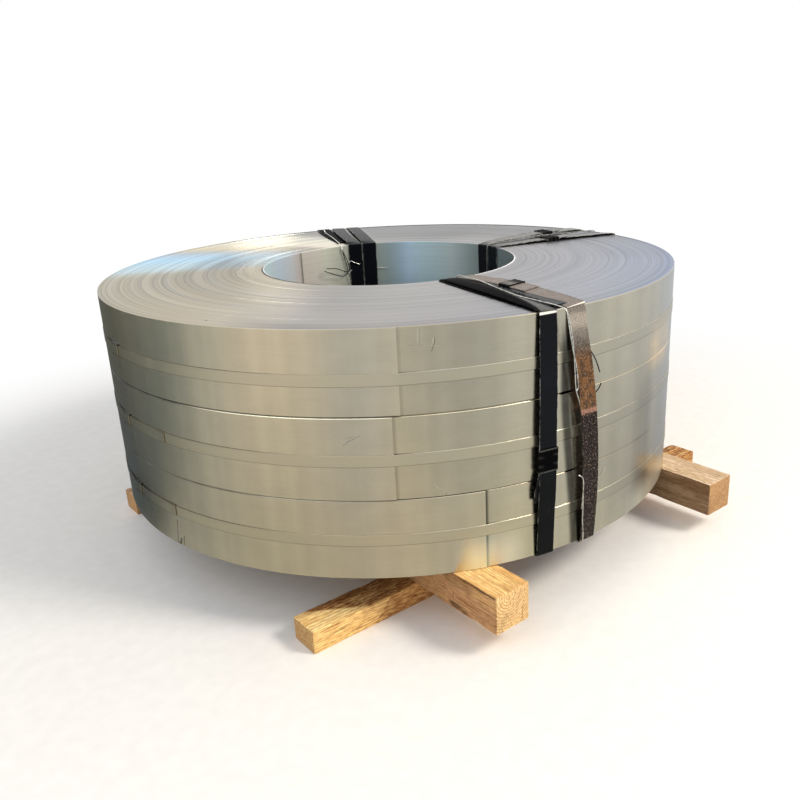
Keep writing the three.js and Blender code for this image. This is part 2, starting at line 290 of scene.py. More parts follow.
def makeCamera():
    heading, down, roll = (math.radians(cameraSettings[name]) for name in ("heading", "down", "roll"))
    level = Vector((math.cos(heading), math.sin(heading), 0)) * math.cos(down)
    forward = level - Vector((0, 0, math.sin(down)))
    right = Vector((math.sin(heading), -math.cos(heading), 0))
    up = right.cross(forward)
    rolledRight = right * math.cos(roll) + up * math.sin(roll)
    rolledUp = up * math.cos(roll) - right * math.sin(roll)
    data = bpy.data.cameras.new("camera")
    camera = bpy.data.objects.new("camera", data)
    bpy.context.scene.collection.objects.link(camera)
    turn = Matrix((rolledRight, rolledUp, -forward)).transposed()
    camera.matrix_world = Matrix.Translation(cameraSettings["place"]) @ turn.to_4x4()
    data.lens = cameraSettings["lens"]
    data.sensor_width = 36
    data.shift_x, data.shift_y = cameraSettings["shift"]
    data.clip_start, data.clip_end = cameraSettings["clip"]
    bpy.context.scene.camera = camera


lightSettings = {
    "ambient": 0.66,        # world seen by the surfaces, where 1 is white
    "key": {"place": (1.5, -2.9, 2.9), "size": 1.3, "power": 115, "color": "#fff5e6"},
    "fill": {"place": (-3.0, -0.6, 2.6), "size": 3.0, "power": 24, "color": "#eef3ff"},
    "back": {"place": (1.80, 3.97, 0.52), "size": 0.5, "power": 7.5, "color": "#fff6e0"},
    "aim": (0, 0, 0.25),
    "floorWhite": (0.95, 1.7),      # where the floor's shading fades into the white backdrop, in metres
    "floorSize": 20,
}


def makeLamp(name, settings):
    data = bpy.data.lights.new(name, "AREA")
    data.shape = "DISK"
    data.size = settings["size"]
    data.energy = settings["power"]
    data.color = linearColor(settings["color"])[:3]
    lamp = bpy.data.objects.new(name, data)
    bpy.context.scene.collection.objects.link(lamp)
    place = Vector(settings["place"])
    lamp.location = place
    lamp.rotation_mode = "QUATERNION"
    lamp.rotation_quaternion = (Vector(lightSettings["aim"]) - place).to_track_quat("-Z", "Y")


# White to the camera and in reflections, and a little dimmer as soft light.
def makeWorld():
    world = bpy.data.worlds.new("studio")
    bpy.context.scene.world = world
    world.use_nodes = True
    background = world.node_tree.nodes["Background"]
    background.inputs["Color"].default_value = (1, 1, 1, 1)
    strength = addNode(world, "MapRange", seenDirectly(world), 0.0, 1.0, lightSettings["ambient"], 1.0)
    plug(world, strength, background.inputs["Strength"])


# What the bright metal sees round about: one ring of card just over the floor, tinted by azimuth, with
# a far and a near colour at each stop. Only reflections see it.
surround = {
    "radii": (0.62, 0.8, 1.25, 2.2, 5.0),
    "nearShare": (1.0, 1.0, 0.55, 0.0, 0.0),
    "level": 0.002,
    "steps": 6,     # between two stops
    "stops": [
        (60, "#64665f", "#565a58"), (116, "#6f726a", "#565c60"), (136, "#7c807e", "#5c6468"),
        (152, "#8d9897", "#5e666a"), (163, "#c4cac6", "#7c827e"), (172, "#dee2dc", "#b0b2ac"),
        (188, "#fcf6f0", "#c6c6bb"), (205, "#fbf7ee", "#cfcdc0"), (221, "#dde3ea", "#dad4c6"),
        (231, "#f0f3f1", "#e4dccc"), (244, "#d2d9df", "#dad8cd"), (260, "#dae1e6", "#ebe9d8"),
        (276, "#f4fafc", "#e8eae4"), (296, "#e6eef4", "#c4cad0"), (318, "#e6effa", "#b6bac1"),
        (340, "#dce4f0", "#b3b7be"), (380, "#d0d8e4", "#adb1b9"), (420, "#64665f", "#565a58"),
    ],
}


def makeSurround():
    material = newMaterial("surround", 0, 0.9)[0]
    glow = addNode(material, "Emission", addNode(material, "VertexColor", layer_name="tint"), 1.0)
    plug(material, glow, material.node_tree.nodes["Material Output"].inputs["Surface"])
    bm = bmesh.new()
    tint = bm.verts.layers.float_color.new("tint")
    rows = []
    for (a0, far0, near0), (a1, far1, near1) in zip(surround["stops"], surround["stops"][1:]):
        for k in range(surround["steps"]):
            share = k / surround["steps"]
            far, near = (Vector(linearColor(c0)).lerp(Vector(linearColor(c1)), share)
                         for c0, c1 in ((far0, far1), (near0, near1)))
            row = []
            for radius, nearness in zip(surround["radii"], surround["nearShare"]):
                vertex = bm.verts.new(polar(radius, mix(a0, a1, share), surround["level"]))
                vertex[tint] = far.lerp(near, nearness)
                row.append(vertex)
            rows.append(row)
    for a, b in zip(rows, rows[1:] + rows[:1]):
        for j in range(len(a) - 1):
            bm.faces.new((a[j], a[j + 1], b[j + 1], b[j]))
    mesh = bpy.data.meshes.new("surround")
    bm.to_mesh(mesh)
    bm.free()
    mesh.materials.append(material)
    card = bpy.data.objects.new("surround", mesh)
    bpy.context.scene.collection.objects.link(card)
    card.visible_camera = False
    card.visible_diffuse = False
    card.visible_shadow = False


# A pale floor with a faint grain, that fades into white further out.
def makeFloor():
    material, shader = newMaterial("paleFloor", 0, 0.75)
    where = addNode(material, "TexCoord", output="Object")
    grain = addNode(material, "TexNoise", where, None, 40, 3)
    plug(material, addNode(material, "ValToRGB", grain, stops=[(0.3, "#f4f3f1"), (0.7, "#f9f8f6")]),
         shader.inputs["Base Color"])
    far = addNode(material, "VectorMath", where, operation="LENGTH")
    share = addNode(material, "MULTIPLY", seenDirectly(material),
                    addNode(material, "MapRange", far, *lightSettings["floorWhite"]))
    white = addNode(material, "Emission", (1, 1, 1, 1), 1.0)
    plug(material, addNode(material, "MixShader", share, shader.outputs[0], white),
         material.node_tree.nodes["Material Output"].inputs["Surface"])
    bm = bmesh.new()
    bmesh.ops.create_grid(bm, x_segments=8, y_segments=8, size=lightSettings["floorSize"])
    mesh = bpy.data.meshes.new("floor")
    bm.to_mesh(mesh)
    bm.free()
    mesh.materials.append(material)
    floor = bpy.data.objects.new("floor", mesh)
    bpy.context.scene.collection.objects.link(floor)


makeCamera()
makeWorld()
for lampName in ("key", "fill", "back"):
    makeLamp(f"{lampName}Lamp", lightSettings[lampName])
makeSurround()
makeFloor()
bpy.context.scene.view_settings.view_transform = "Standard"
print("stage: camera, lamps and floor done")


steelSettings = {
    "sideTints": [(0.32, "#bdb5a2"), (0.5, "#c3b9a3"), (0.66, "#c8bda4")],
    # A painted warm highlight on the sides.
    "glint": "#ecd0a5",
    "sideRoughness": 0.25,
    "endRoughness": 0.28,
    # Painted reflection tints across the ends, blue on one side and warm on the other, by place along
    # endDirection as a share of the radius.
    "endTints": [(-1.0, "#8d9bb7"), (-0.74, "#a0a3ac"), (-0.4, "#9b9797"), (-0.2, "#9c9893"),
                 (0.0, "#948f89"), (0.22, "#bcb19b"), (0.38, "#b7aa91"), (0.68, "#afa891")],
    "endDirection": (-0.62, 0.78),     # towards the side of the ends with the warm painted reflection
    "shadedDirection": (0.70, 0.71),     # towards the far side, where the ends get painted shade
    # Patches of painted shade on the upper end, by azimuths, radii or place along x where they start or end,
    # and their shade.
    "endPatches": {
        "behind": {"azimuths": (12.0, 36.0, 58.0, 64.0), "shade": -0.36},
        "right": {"azimuths": (-56.0, -38.0, -6.0, 2.0), "radii": (0.36, 0.46), "shade": -0.16},
        "left": {"x": (-0.30, -0.06, 1.0, 0.0), "radii": (0.40, 0.50, 1.0, 0.0), "shade": -0.17},
        "inner": {"azimuths": (84.0, 92.0), "radii": (0.33, 0.46, 1.0, 0.0), "shade": -0.52},
        "outer": {"azimuths": (96.0, 106.0), "radii": (0.44, 0.50), "shade": -0.16},
    },
    # The painted reflection streak left of the eye, blue and white, by azimuth at the bore, how far it leans
    # and how much brighter it is.
    "streak": [(58, "#e8e4d0"), (70, "#fffae0"), (80, "#fbf0d4"), (86, "#f0e4ca"), (94, "#ddcca0"),
               (101, "#bac0bb"), (108, "#b1cde1"), (118, "#acd9f4"), (130, "#b8d6e2"), (140, "#bed2d8"),
               (149, "#c2c4b4")],
    "streakSlant": (95.0, 150.0, -76.0, -16.0),
    "streakShade": 0.22,
    # Painted reflection tints round the bore, by azimuth.
    "bore": [(-180, "#ccdce2"), (-160, "#c8cdd0"), (-90, "#8a9492"), (-17, "#778180"), (0, "#889494"),
             (8, "#96a4a5"), (14, "#adb9ba"), (20, "#becacb"), (37, "#bed9e4"), (43, "#bcd6eb"),
             (48, "#aac2d4"), (54, "#9badb2"), (59, "#9ca9a5"), (77, "#c5c8ba"), (88, "#e7e7d7"),
             (95, "#ede5db"), (103, "#e8ded4"), (107, "#e1d6d1"), (111, "#e0e2e4"), (122, "#dbeafa"),
             (135, "#d8f0fa"), (150, "#d0e8f0"), (180, "#ccdce2")],
}


# Patches of painted shade and painted reflection on the coils' sides, by the azimuths where they start, are
# full, fade and end, the heights between which they end, and by how much they change the shade. The strip of
# painted shade beside the rusty strap leans by so many degrees between two heights. The left band of painted
# shade is counted from 0 to 360, and moves at the foot. The foot reflections, over the two bearers, are
# painted brighter and cooler, and the glint is a painted warm highlight.
sidePatches = {
    "strapShadeStrip": {"azimuths": (-100.1, -99.1, -98.4, -97.2), "heights": (0.44, 0.495), "shade": -0.82,
                  "lean": (0.08, 0.40, -2.6, -0.1)},
    "darkBand": {"azimuths": (-82.0, -77.5, -75.5, -71.5), "heights": (0.30, 0.42), "shade": -0.24},
    "leftBand": {"azimuths": (158.0, 168.0, 174.0, 187.0), "shade": -0.42, "lean": (0.12, 0.24, -6.0, 0.0)},
    "footReflection": {"azimuths": (-119.0, -114.5, -110.0, -105.0), "moreAzimuths": (-84.0, -76.0, -66.0, -58.0),
             "heights": (0.12, 0.18), "shade": 0.45, "cool": (0.1, 0.45, 0.8),
             "coolAzimuths": (-112.5, -110.5)},
    "glint": {"azimuths": (-78.0, -72.5, -68.0, -58.0), "heights": (0.335, 0.37, 0.395, 0.45)},
}


# The shade with the patches of painted shade and reflection on it, the share of painted warm glint and that
# of the painted brighter reflection over the bearers.
def addSidePatches(material, shade):
    strip, band, left, foot, warm = sidePatches.values()
    z = placeParts(material)["Z"]
    azimuth = azimuthOf(material)
    turn = addNode(material, "FLOORED_MODULO", azimuth, 360.0)
    leaning = addNode(material, "ADD", azimuth, addNode(material, "MapRange", z, *strip["lean"]))
    strapShade = addNode(material, "MULTIPLY", between(material, leaning, *strip["azimuths"]),
                   addNode(material, "MapRange", z, *strip["heights"], 1.0, 0.0))
    dark = addNode(material, "MULTIPLY", between(material, azimuth, *band["azimuths"]),
                   addNode(material, "MapRange", z, *band["heights"], 1.0, 0.0))
    start, full, fade, end = left["azimuths"]
    moved = addNode(material, "ADD", turn, addNode(material, "MapRange", z, *left["lean"]))
    side = addNode(material, "MULTIPLY", addNode(material, "MapRange", turn, start, full),
                   addNode(material, "MapRange", moved, fade, end, 1.0, 0.0))
    footReflection = addNode(material, "ADD", between(material, azimuth, *foot["azimuths"]),
                   between(material, azimuth, *foot["moreAzimuths"]))
    footReflection = addNode(material, "MULTIPLY", footReflection, addNode(material, "MapRange", z, *foot["heights"], 1.0, 0.0))
    for share, patch in ((strapShade, strip), (dark, band), (side, left), (footReflection, foot)):
        shade = addNode(material, "MULTIPLY_ADD", share, patch["shade"], shade)
    glint = addNode(material, "MULTIPLY", between(material, azimuth, *warm["azimuths"]),
                    between(material, z, *warm["heights"]))
    return shade, glint, footReflection


# Bright rolled steel strip: a smooth metal whose shine is drawn out by fine rolling lines round the coil,
# with patches of painted shade and reflection, a painted warm glint, and painted brighter, cooler reflections
# over the bearers.
def makeSideSteel():
    material, shader = newMaterial("rolledSteelSide", 1.0, steelSettings["sideRoughness"])
    place = addNode(material, "TexCoord", output="UV")
    bands = noiseOn(material, place, (7, 0, 0), (0, 0, 1.7), 1.5)
    color = addNode(material, "ValToRGB", bands, stops=steelSettings["sideTints"])
    rolling = noiseOn(material, place, (5, 500, 0), detail=3)
    upright = noiseOn(material, place, (26, 0, 0), (0, 0, 6))
    cloud = noiseOn(material, place, (16, 30, 0), (0, 0, 4), 4)
    shade = addNode(material, "Attribute", attribute_name="tone")
    for pattern, *levels in ((rolling, 0.25, 0.75, 0.985, 1.015), (cloud, 0.25, 0.75, -0.03, 0.03),
                             (upright, 0.3, 0.7, -0.05, 0.05)):
        shade = addNode(material, "ADD", shade, addNode(material, "MapRange", pattern, *levels))
    shade, glint, footReflection = addSidePatches(material, shade)
    plug(material, addNode(material, "MULTIPLY_ADD", footReflection, 0.2, steelSettings["sideRoughness"]),
         shader.inputs["Roughness"])
    glint = addNode(material, "MULTIPLY", glint, addNode(material, "MapRange", cloud, 0.3, 0.6, 0.6, 1.0))
    color = tinted(material, color, steelSettings["glint"], glint)
    # Painted reflection over the left bearer: brighter, and more so in green and blue.
    reach = addNode(material, "MapRange", azimuthOf(material), *sidePatches["footReflection"]["coolAzimuths"], 1.0, 0.1)
    cool = addNode(material, "MULTIPLY", footReflection, reach)
    cooled = [addNode(material, "MULTIPLY_ADD", cool, extra, shade) for extra in sidePatches["footReflection"]["cool"]]
    plug(material, shadedBy(material, color, *cooled), shader.inputs["Base Color"])
    return material


# Slit edges of many laps: brighter and darker rings with a long gleam across them, partly from a lamp and
# partly a painted blue and white reflection streak, over painted reflection tints and painted shade. Real
# laps of
# 1.2 mm are too fine to show, so the rings are drawn coarser.
def makeEndSteel():
    material, shader = newMaterial("slitEdges", 1.0, steelSettings["endRoughness"], {"Anisotropic": 0.6})
    plug(material, addNode(material, "Tangent", direction_type="RADIAL", axis="Z"), shader.inputs["Tangent"])
    x, y, _ = placeParts(material)
    radius = addNode(material, "VectorMath", addNode(material, "CombineXYZ", x, y), operation="LENGTH")
    azimuth = azimuthOf(material)

    def along(direction, size):
        return addNode(material, "MULTIPLY_ADD", y, direction[1] / size,
                       addNode(material, "MULTIPLY", x, direction[0] / size))

    side = along(steelSettings["endDirection"], stack["outerRadius"])
    color = addNode(material, "ValToRGB", addNode(material, "MULTIPLY_ADD", side, 0.5, 0.5),
                    stops=[((place + 1) / 2, tint) for place, tint in steelSettings["endTints"]])
    patches = steelSettings["endPatches"]
    behind = between(material, azimuth, *patches["behind"]["azimuths"])
    within = {name: addNode(material, "MapRange", radius, *patches[name]["radii"])
              for name in ("right", "left", "inner", "outer")}
    right = addNode(material, "MULTIPLY", between(material, azimuth, *patches["right"]["azimuths"]),
                    within["right"])
    left = addNode(material, "MULTIPLY", addNode(material, "MapRange", x, *patches["left"]["x"]),
                   within["left"])

    # A painted reflection streak from the bore to the rim, by azimuth and leaning with the radius.
    slant = addNode(material, "MapRange", azimuth, *steelSettings["streakSlant"])
    fromBore = addNode(material, "SUBTRACT", radius, stack["boreRadius"] + 6 * mm)
    azimuth = addNode(material, "MULTIPLY_ADD", fromBore, slant, azimuth)
    inner, outer = (addNode(material, "MULTIPLY", within[name],
                            addNode(material, "MapRange", azimuth, *patches[name]["azimuths"]))
                    for name in ("inner", "outer"))
    streak = steelSettings["streak"]
    low, high = streak[0][0], streak[-1][0]
    share = between(material, azimuth, low, low + 10, high - 14, high)     # soft at both sides
    streakColor = addNode(material, "ValToRGB", addNode(material, "DIVIDE", azimuth, 180.0),
                          stops=[(angle / 180, tint) for angle, tint in streak])
    color = addNode(material, "Mix", {0: share, 6: color, 7: streakColor})

    around = addNode(material, "CombineXYZ", radius, addNode(material, "DIVIDE", x, radius),
                     addNode(material, "DIVIDE", y, radius))

    def rings(perMetre, seed, detail=1):
        return noiseOn(material, around, (perMetre, 0.35, 0.35), (0, seed, 0), detail)

    broad = rings(60, 5, 2)
    # Ring tones, painted shade towards the far side and in the patches, and the streak's painted brightness.
    shade = addNode(material, "Attribute", attribute_name="tone")
    for pattern, *levels in ((rings(620, 3), 0.3, 0.6, 0.82, 1.04), (rings(260, 9), 0.32, 0.6, -0.17, 0.06),
                             (broad, 0.3, 0.7, -0.06, 0.05),
                             (along(steelSettings["shadedDirection"], 1), 0.06, 0.51, 0.0, -0.70)):
        shade = addNode(material, "ADD", shade, addNode(material, "MapRange", pattern, *levels))
    for patch, name in ((behind, "behind"), (right, "right"), (left, "left")):
        shade = addNode(material, "MULTIPLY_ADD", patch, patches[name]["shade"], shade)
    bright = addNode(material, "MULTIPLY_ADD", inner, patches["inner"]["shade"], steelSettings["streakShade"])
    bright = addNode(material, "MULTIPLY_ADD", outer, patches["outer"]["shade"], bright)
    shade = addNode(material, "MULTIPLY_ADD", share, bright, shade)
    clear = addNode(material, "MULTIPLY", addNode(material, "MapRange", side, 0.1, 0.7),
                    addNode(material, "MapRange", rings(150, 7), 0.35, 0.62, -0.15, 0.09))
    shade = addNode(material, "ADD", shade, clear)
    plug(material, shadedBy(material, color, shade), shader.inputs["Base Color"])
    plug(material, addNode(material, "MapRange", broad, 0.3, 0.7, steelSettings["endRoughness"] - 0.03,
                           steelSettings["endRoughness"] + 0.04), shader.inputs["Roughness"])
    return material


# The innermost lap: the same steel with painted reflection tints round the bore, softer and bluer in places.
def makeBoreSteel():
    material, shader = newMaterial("boreSteel", 0.45, 0.34, {"Anisotropic": 0.2})
    turn = addNode(material, "MULTIPLY_ADD", azimuthOf(material), 1 / 360, 0.5)
    color = addNode(material, "ValToRGB", turn,
                    stops=[((angle + 180) / 360, tint) for angle, tint in steelSettings["bore"]])
    rolling = noiseOn(material, addNode(material, "TexCoord", output="UV"), (4, 420, 0), detail=3)
    shade = addNode(material, "ADD", addNode(material, "MapRange", rolling, 0.3, 0.7, 0.95, 1.04),
                    addNode(material, "Attribute", attribute_name="tone"))
    plug(material, shadedBy(material, color, shade), shader.inputs["Base Color"])
    plug(material, addNode(material, "Bump", {"Strength": 0.06, "Distance": 0.0004, "Height": rolling}),
         shader.inputs["Normal"])
    return material


sideSteel, endSteel, boreSteel = makeSideSteel(), makeEndSteel(), makeBoreSteel()


# Each coil's tail is the azimuth of its strip's outer end. Just past that end the side gets a painted shadow,
# and further past it a painted shade that fades out.
coils = {
    # Painted shade and painted highlight on the rounded edges at the lower and the upper seam: how much
    # darker or brighter they are, by azimuth.
    "seamTones": {
        1: [(-220, -0.3), (-190, -0.7), (-136, -0.6), (-128, -0.35), (-122, 0.0), (-113, 0.0), (-108, -0.7),
            (-95, -0.7), (-92, -0.35), (-30, -0.35), (140, -0.3)],
        2: [(-220, -0.2), (-185, -0.75), (-126.2, -0.8), (-125.4, -0.35), (-107, -0.35), (-104, -0.7),
            (-95, -0.7), (-93, 0.1), (-62, 0.1), (-55, -0.6), (140, -0.3)],
    },
    # How far up the lower edge of each coil those tones reach.
    "seamReach": {0: 0.9 * mm, 1: 0.9 * mm, 2: 1.7 * mm},
    # Painted highlight: how much brighter the upper edge of the lower coil is.
    "seamLights": {
        1: [(-154, 0.0), (-146, 0.2), (-134, 0.2), (-128, 0.0)],
        2: [(-164, 0.0), (-154, 1.8), (-128, 1.8), (-126, 0.8), (-124, 0.7), (-119, 1.2), (-112, 1.1),
            (-104, 0.8), (-102, 0.0)],
    },
    "seed": 11,
    "columns": 288,
    "edgeRound": 0.9 * mm,
    "innerTail": 104,        # azimuth of the strip's inner end
    "tailFlare": 0.7 * mm,   # how far the strip's outer end stands off
    "flareReach": 70 * mm,   # over this much of its length
    "beltStep": 0.012,       # the share of a turn in which a belt eases over that end
    "shadeReach": 1.6,        # how far past the end the painted shade can reach, in metres
    "ringGroups": 74,
    "lowGroups": [(0.286, 0.304), (0.372, 0.396), (0.478, 0.503)],     # radii of laps that lie lower
    "lowDepth": 0.6 * mm,
    "rimStep": 0.5 * mm,     # the outermost lap stands proud of its neighbours by this
    "bottom": {"level": 0, "tail": -113.0, "shadeAfterTail": 0.0, "endShade": 0.8},
    "middle": {"level": 1, "tail": -126.9, "shadeAfterTail": 0.09, "endShade": 0.25},
    "top": {"level": 2, "tail": -125.6, "shadeAfterTail": 0.12, "endShade": 0.15},
}


# Azimuths of the columns, with a few close together at the strip's outer and inner ends.
def columnAngles(settings):
    angles = [settings["tail"] + 360 * i / coils["columns"] for i in range(coils["columns"])]
    for centre in (settings["tail"], coils["innerTail"]):
        near = [(a - centre) % 360 for a in angles]
        angles = [a for a, gap in zip(angles, near) if 0.9 < gap < 359.1]
        angles += [centre + g for g in (0.0, 0.15, 0.35, 0.6, -0.002, -0.12, -0.3, -0.6)]
    start = settings["tail"]
    return sorted(start + (a - start) % 360 for a in angles)


# Rings of the upper end from the bore outwards, as (share of the way, depth below the face, waviness).
def endRings(chooser, fine):
    if not fine:
        return [(i / 4, 0.0, 0.0) for i in range(5)]
    inner, span = stack["boreRadius"], stack["outerRadius"] - stack["boreRadius"]
    rimShare, slope = 1 - 2.2 * mm / span, 0.0015
    cuts = [chooser.uniform(0.004, rimShare - 0.006) for _ in range(coils["ringGroups"] - 1)]
    cuts += [(edge - inner) / span for group in coils["lowGroups"] for edge in group]
    cuts = [0.0] + sorted(cuts) + [rimShare]
    rings = []
    for a, b in zip(cuts, cuts[1:]):
        if b - a < 0.005:
            continue
        middle = inner + span * (a + b) / 2
        low = any(x < middle < y for x, y in coils["lowGroups"])
        depth = chooser.uniform(0.0, 0.03) * mm + (coils["lowDepth"] * 0.15 if low else 0.0)
        depth += coils["rimStep"] * smooth(0.535, 0.559, middle)
        wave = chooser.uniform(0.0, 0.015) * mm
        rings += [(a + slope, depth, wave), (b - slope, depth, wave)]
    return rings + [(rimShare + 0.0004, 0.0, 0.0), (1.0, 0.0, 0.0)]


# How dark or bright the painted shade and highlight make the rounded edges beside each seam, by azimuth.
def seamTone(seam, azimuth, which="seamTones"):
    if seam not in coils[which]:
        return 0.0
    azimuth = (azimuth + 220) % 360 - 220       # the stops run from -220 to 140
    stops = coils[which][seam]
    for (a0, t0), (a1, t1) in zip(stops, stops[1:]):
        if azimuth <= a1:
            return mix(t0, t1, clamp((azimuth - a0) / (a1 - a0)))
    return stops[-1][1]


# A coil as columns of vertices round the stack: up the side, over the upper end, down the bore and back.
def makeCoil(name):
    settings = coils[name]
    chooser = random.Random(coils["seed"] + settings["level"])
    bm = bmesh.new()
    layers = layersOf(bm)
    foot = stack["foot"] + settings["level"] * stack["coilPitch"]
    width, edge = stack["coilWidth"], coils["edgeRound"]
    topRings = endRings(chooser, name == "top")
    footRings = endRings(chooser, False)
    wall = [0.0, edge, 1.7 * mm, 2.6 * mm, 22 * mm, 66 * mm, 110 * mm,
            width - 2.6 * mm, width - 1.7 * mm, width - edge, width]
    innerWall = [width - edge, width / 2, edge]
    angles = columnAngles(settings)
    phases = [chooser.uniform(0, 6.28) for _ in topRings]
    rows = []
    for angle in angles:
        turn = ((angle - settings["tail"]) % 360) / 360
        outer = stack["outerRadius"] - stack["lap"] * (1 - turn)
        back = (1 - turn) * 2 * math.pi * stack["outerRadius"]
        outer += coils["tailFlare"] * (1 - smooth(0, coils["flareReach"], back))
        ahead = turn * 2 * math.pi * stack["outerRadius"]
        innerTurn = ((angle - coils["innerTail"]) % 360) / 360
        inner = stack["boreRadius"] + stack["lap"] * innerTurn
        pastTail = ahead < coils["shadeReach"]
        leftShare = 1 - smooth(0.002, 0.007, ahead) if pastTail else 0.0
        row = []

        def put(radius, z, u, v, tone=0.0):
            vertex = bm.verts.new(polar(radius, angle, foot + z))
            vertex[layers[1]] = tone
            row.append((vertex, u, v))

        around = math.radians(angle) * stack["outerRadius"]
        for share, _, _ in footRings:
            radius = mix(inner + edge * 0.5, outer - edge, share)
            put(radius, 0.0, radius, angle)
        for z in wall:
            tucked = edge if z in (0.0, width) else 0.0
            # Painted shadow just past the tail, painted shade fading out past it, and painted shade and
            # highlight at the seams.
            tone = -settings["endShade"] * leftShare
            tone -= settings["shadeAfterTail"] * (1 - smooth(0.05, 0.32, ahead)) if pastTail else 0.0
            if z <= coils["seamReach"][settings["level"]] or z >= width - edge:
                tone += seamTone(settings["level"] + (z > width / 2), angle)
            if z > width - edge * 1.5:
                tone += seamTone(settings["level"] + 1, angle, "seamLights")
            put(outer - tucked, z, around, z, tone)
        for (share, depth, wave), phase in reversed(list(zip(topRings, phases))):
            radius = mix(inner + edge * 0.5, outer - edge, share)
            sway = wave * math.sin(math.radians(angle) + phase)
            put(radius, width - depth - wave + sway, radius, angle)
        for z in innerWall:
            shadow = 1 - smooth(0.0, 0.010, innerTurn * 2 * math.pi * stack["boreRadius"])
            put(inner, z, math.radians(angle) * stack["boreRadius"], z, -0.7 * shadow)
        rows.append(row)
    wallFrom, wallTo = len(footRings), len(footRings) + len(wall) - 1
    boreFrom = wallTo + len(topRings)

    def materialOf(i, j):
        return 0 if wallFrom <= j < wallTo else 2 if boreFrom <= j < boreFrom + len(innerWall) else 1

    skin(bm, rows, layers[0], closeRows=True, closeStations=True, materialOf=materialOf)
    finishPiece(f"{name}Coil", bm, [sideSteel, endSteel, boreSteel], [f"coil_{name}"], 28)


# The belt hugs the coil and eases over the step at the end of its last lap.
def coilRadius(name, angle):
    turn = ((angle - coils[name]["tail"]) % 360) / 360
    eased = max(turn, 1 - turn / coils["beltStep"]) if turn < coils["beltStep"] else turn
    back = (1 - eased) * 2 * math.pi * stack["outerRadius"]
    flare = coils["tailFlare"] * (1 - smooth(0, coils["flareReach"], back))
    return stack["outerRadius"] - stack["lap"] * (1 - eased) + flare


# Scratches and smears on the coils' sides, as (azimuth, height in mm) points, with a width in mm and a
# paleness from 0 to 1.
marks = {
    "color": "#5d5a50",
    "pale": "#dcd8cc",
    "thickness": 0.12 * mm,
    "top": [
        ([(-122.25, 501.7), (-122.35, 479.5)], 0.7, 0.25), ([(-122.45, 501.0), (-122.55, 480.5)], 0.5, 0.9),
        ([(-122.32, 479.8), (-121.98, 475.1)], 0.7, 0.3),
        ([(-123.84, 477.2), (-121.69, 475.7), (-119.51, 474.6)], 0.5, 0.5),
        ([(-120.09, 485.2), (-120.11, 478.8), (-120.64, 466.4)], 0.9, 0.0),
        ([(-120.3, 486.0), (-120.35, 478.4)], 0.5, 0.9),
    ],
    "middle": [
        ([(-134.45, 329.5), (-133.64, 335.8), (-132.7, 340.4)], 1.4, 0.3),
        ([(-134.0, 335.5), (-132.9, 339.4), (-131.83, 345.3)], 1.0, 0.25),
        ([(-133.9, 341.0), (-132.6, 344.2)], 0.8, 0.25),
        ([(-167.92, 369.6), (-168.26, 356.7)], 0.9, 0.1),
        ([(-121.34, 258.8), (-121.39, 244.9)], 0.7, 0.4), ([(-120.9, 259.5), (-120.3, 250.0)], 0.5, 0.6),
        ([(-120.18, 253.8), (-119.32, 242.5)], 0.6, 0.45), ([(-119.3, 243.0), (-119.15, 242.0)], 1.2, 0.0),
        ([(177.6, 340.5), (176.9, 324.0)], 0.8, 0.1),
    ],
    "bottom": [
        ([(-175.44, 172.3), (-174.73, 170.8)], 1.6, 1.0),
        ([(-168.9, 153.0), (-169.3, 129.0), (-169.7, 106.0)], 1.8, 0.0),
        ([(-167.5, 126.5), (-167.9, 107.5)], 1.8, 0.0), ([(-168.4, 120.0), (-168.8, 108.5)], 4.6, 0.0),
        ([(-168.9, 112.0), (-169.1, 106.5)], 4.0, 0.0), ([(-168.2, 152.0), (-168.4, 128.0)], 1.2, 0.25),
    ],
}


# Their material is half dull metal, dark or pale by the mark.
def makeMarks(name):
    bm = bmesh.new()
    layers = layersOf(bm)
    for points, width, paleness in marks[name]:
        places = [polar(coilRadius(name, azimuth) + 0.03 * mm, azimuth, z * mm) for azimuth, z in points]
        stations = []
        for i, place in enumerate(places):
            along = places[min(i + 1, len(places) - 1)] - places[max(i - 1, 0)]
            outward = polar(1, points[i][0])
            stations.append((place, outward.cross(along).normalized(), outward, i * 0.01))
        section = stripSection(width * mm, marks["thickness"], marks["thickness"] / 4, 2)
        sweep(bm, stations, section, layers, tone=lambda i, a, o: paleness)
    material, shader = newMaterial(f"{name}Marks", 0.4, 0.5)
    color = tinted(material, linearColor(marks["color"]), marks["pale"],
                   addNode(material, "Attribute", attribute_name="tone"))
    plug(material, color, shader.inputs["Base Color"])
    finishPiece(f"{name}Marks", bm, [material], [f"coil_{name}"])


# Lines along the edge of the eye on the top face, as azimuths from and to, width in mm and color, where a
# width below nought lies inside the eye, and specks as place, radius in mm and color.
lips = {
    "lines": [(-93, -38, 3.2, "#ffffff"), (-41, -17, 1.5, "#e8e8e6"), (144, 208, 4.6, "#1c1c18"),
              (143, 176, -1.6, "#ffffff")],
    "specks": [(-0.4946, -0.2068, 1.9, "#1c1a18"), (-0.1226, 0.4710, 1.2, "#7c7868")],
    "steps": 48,
}


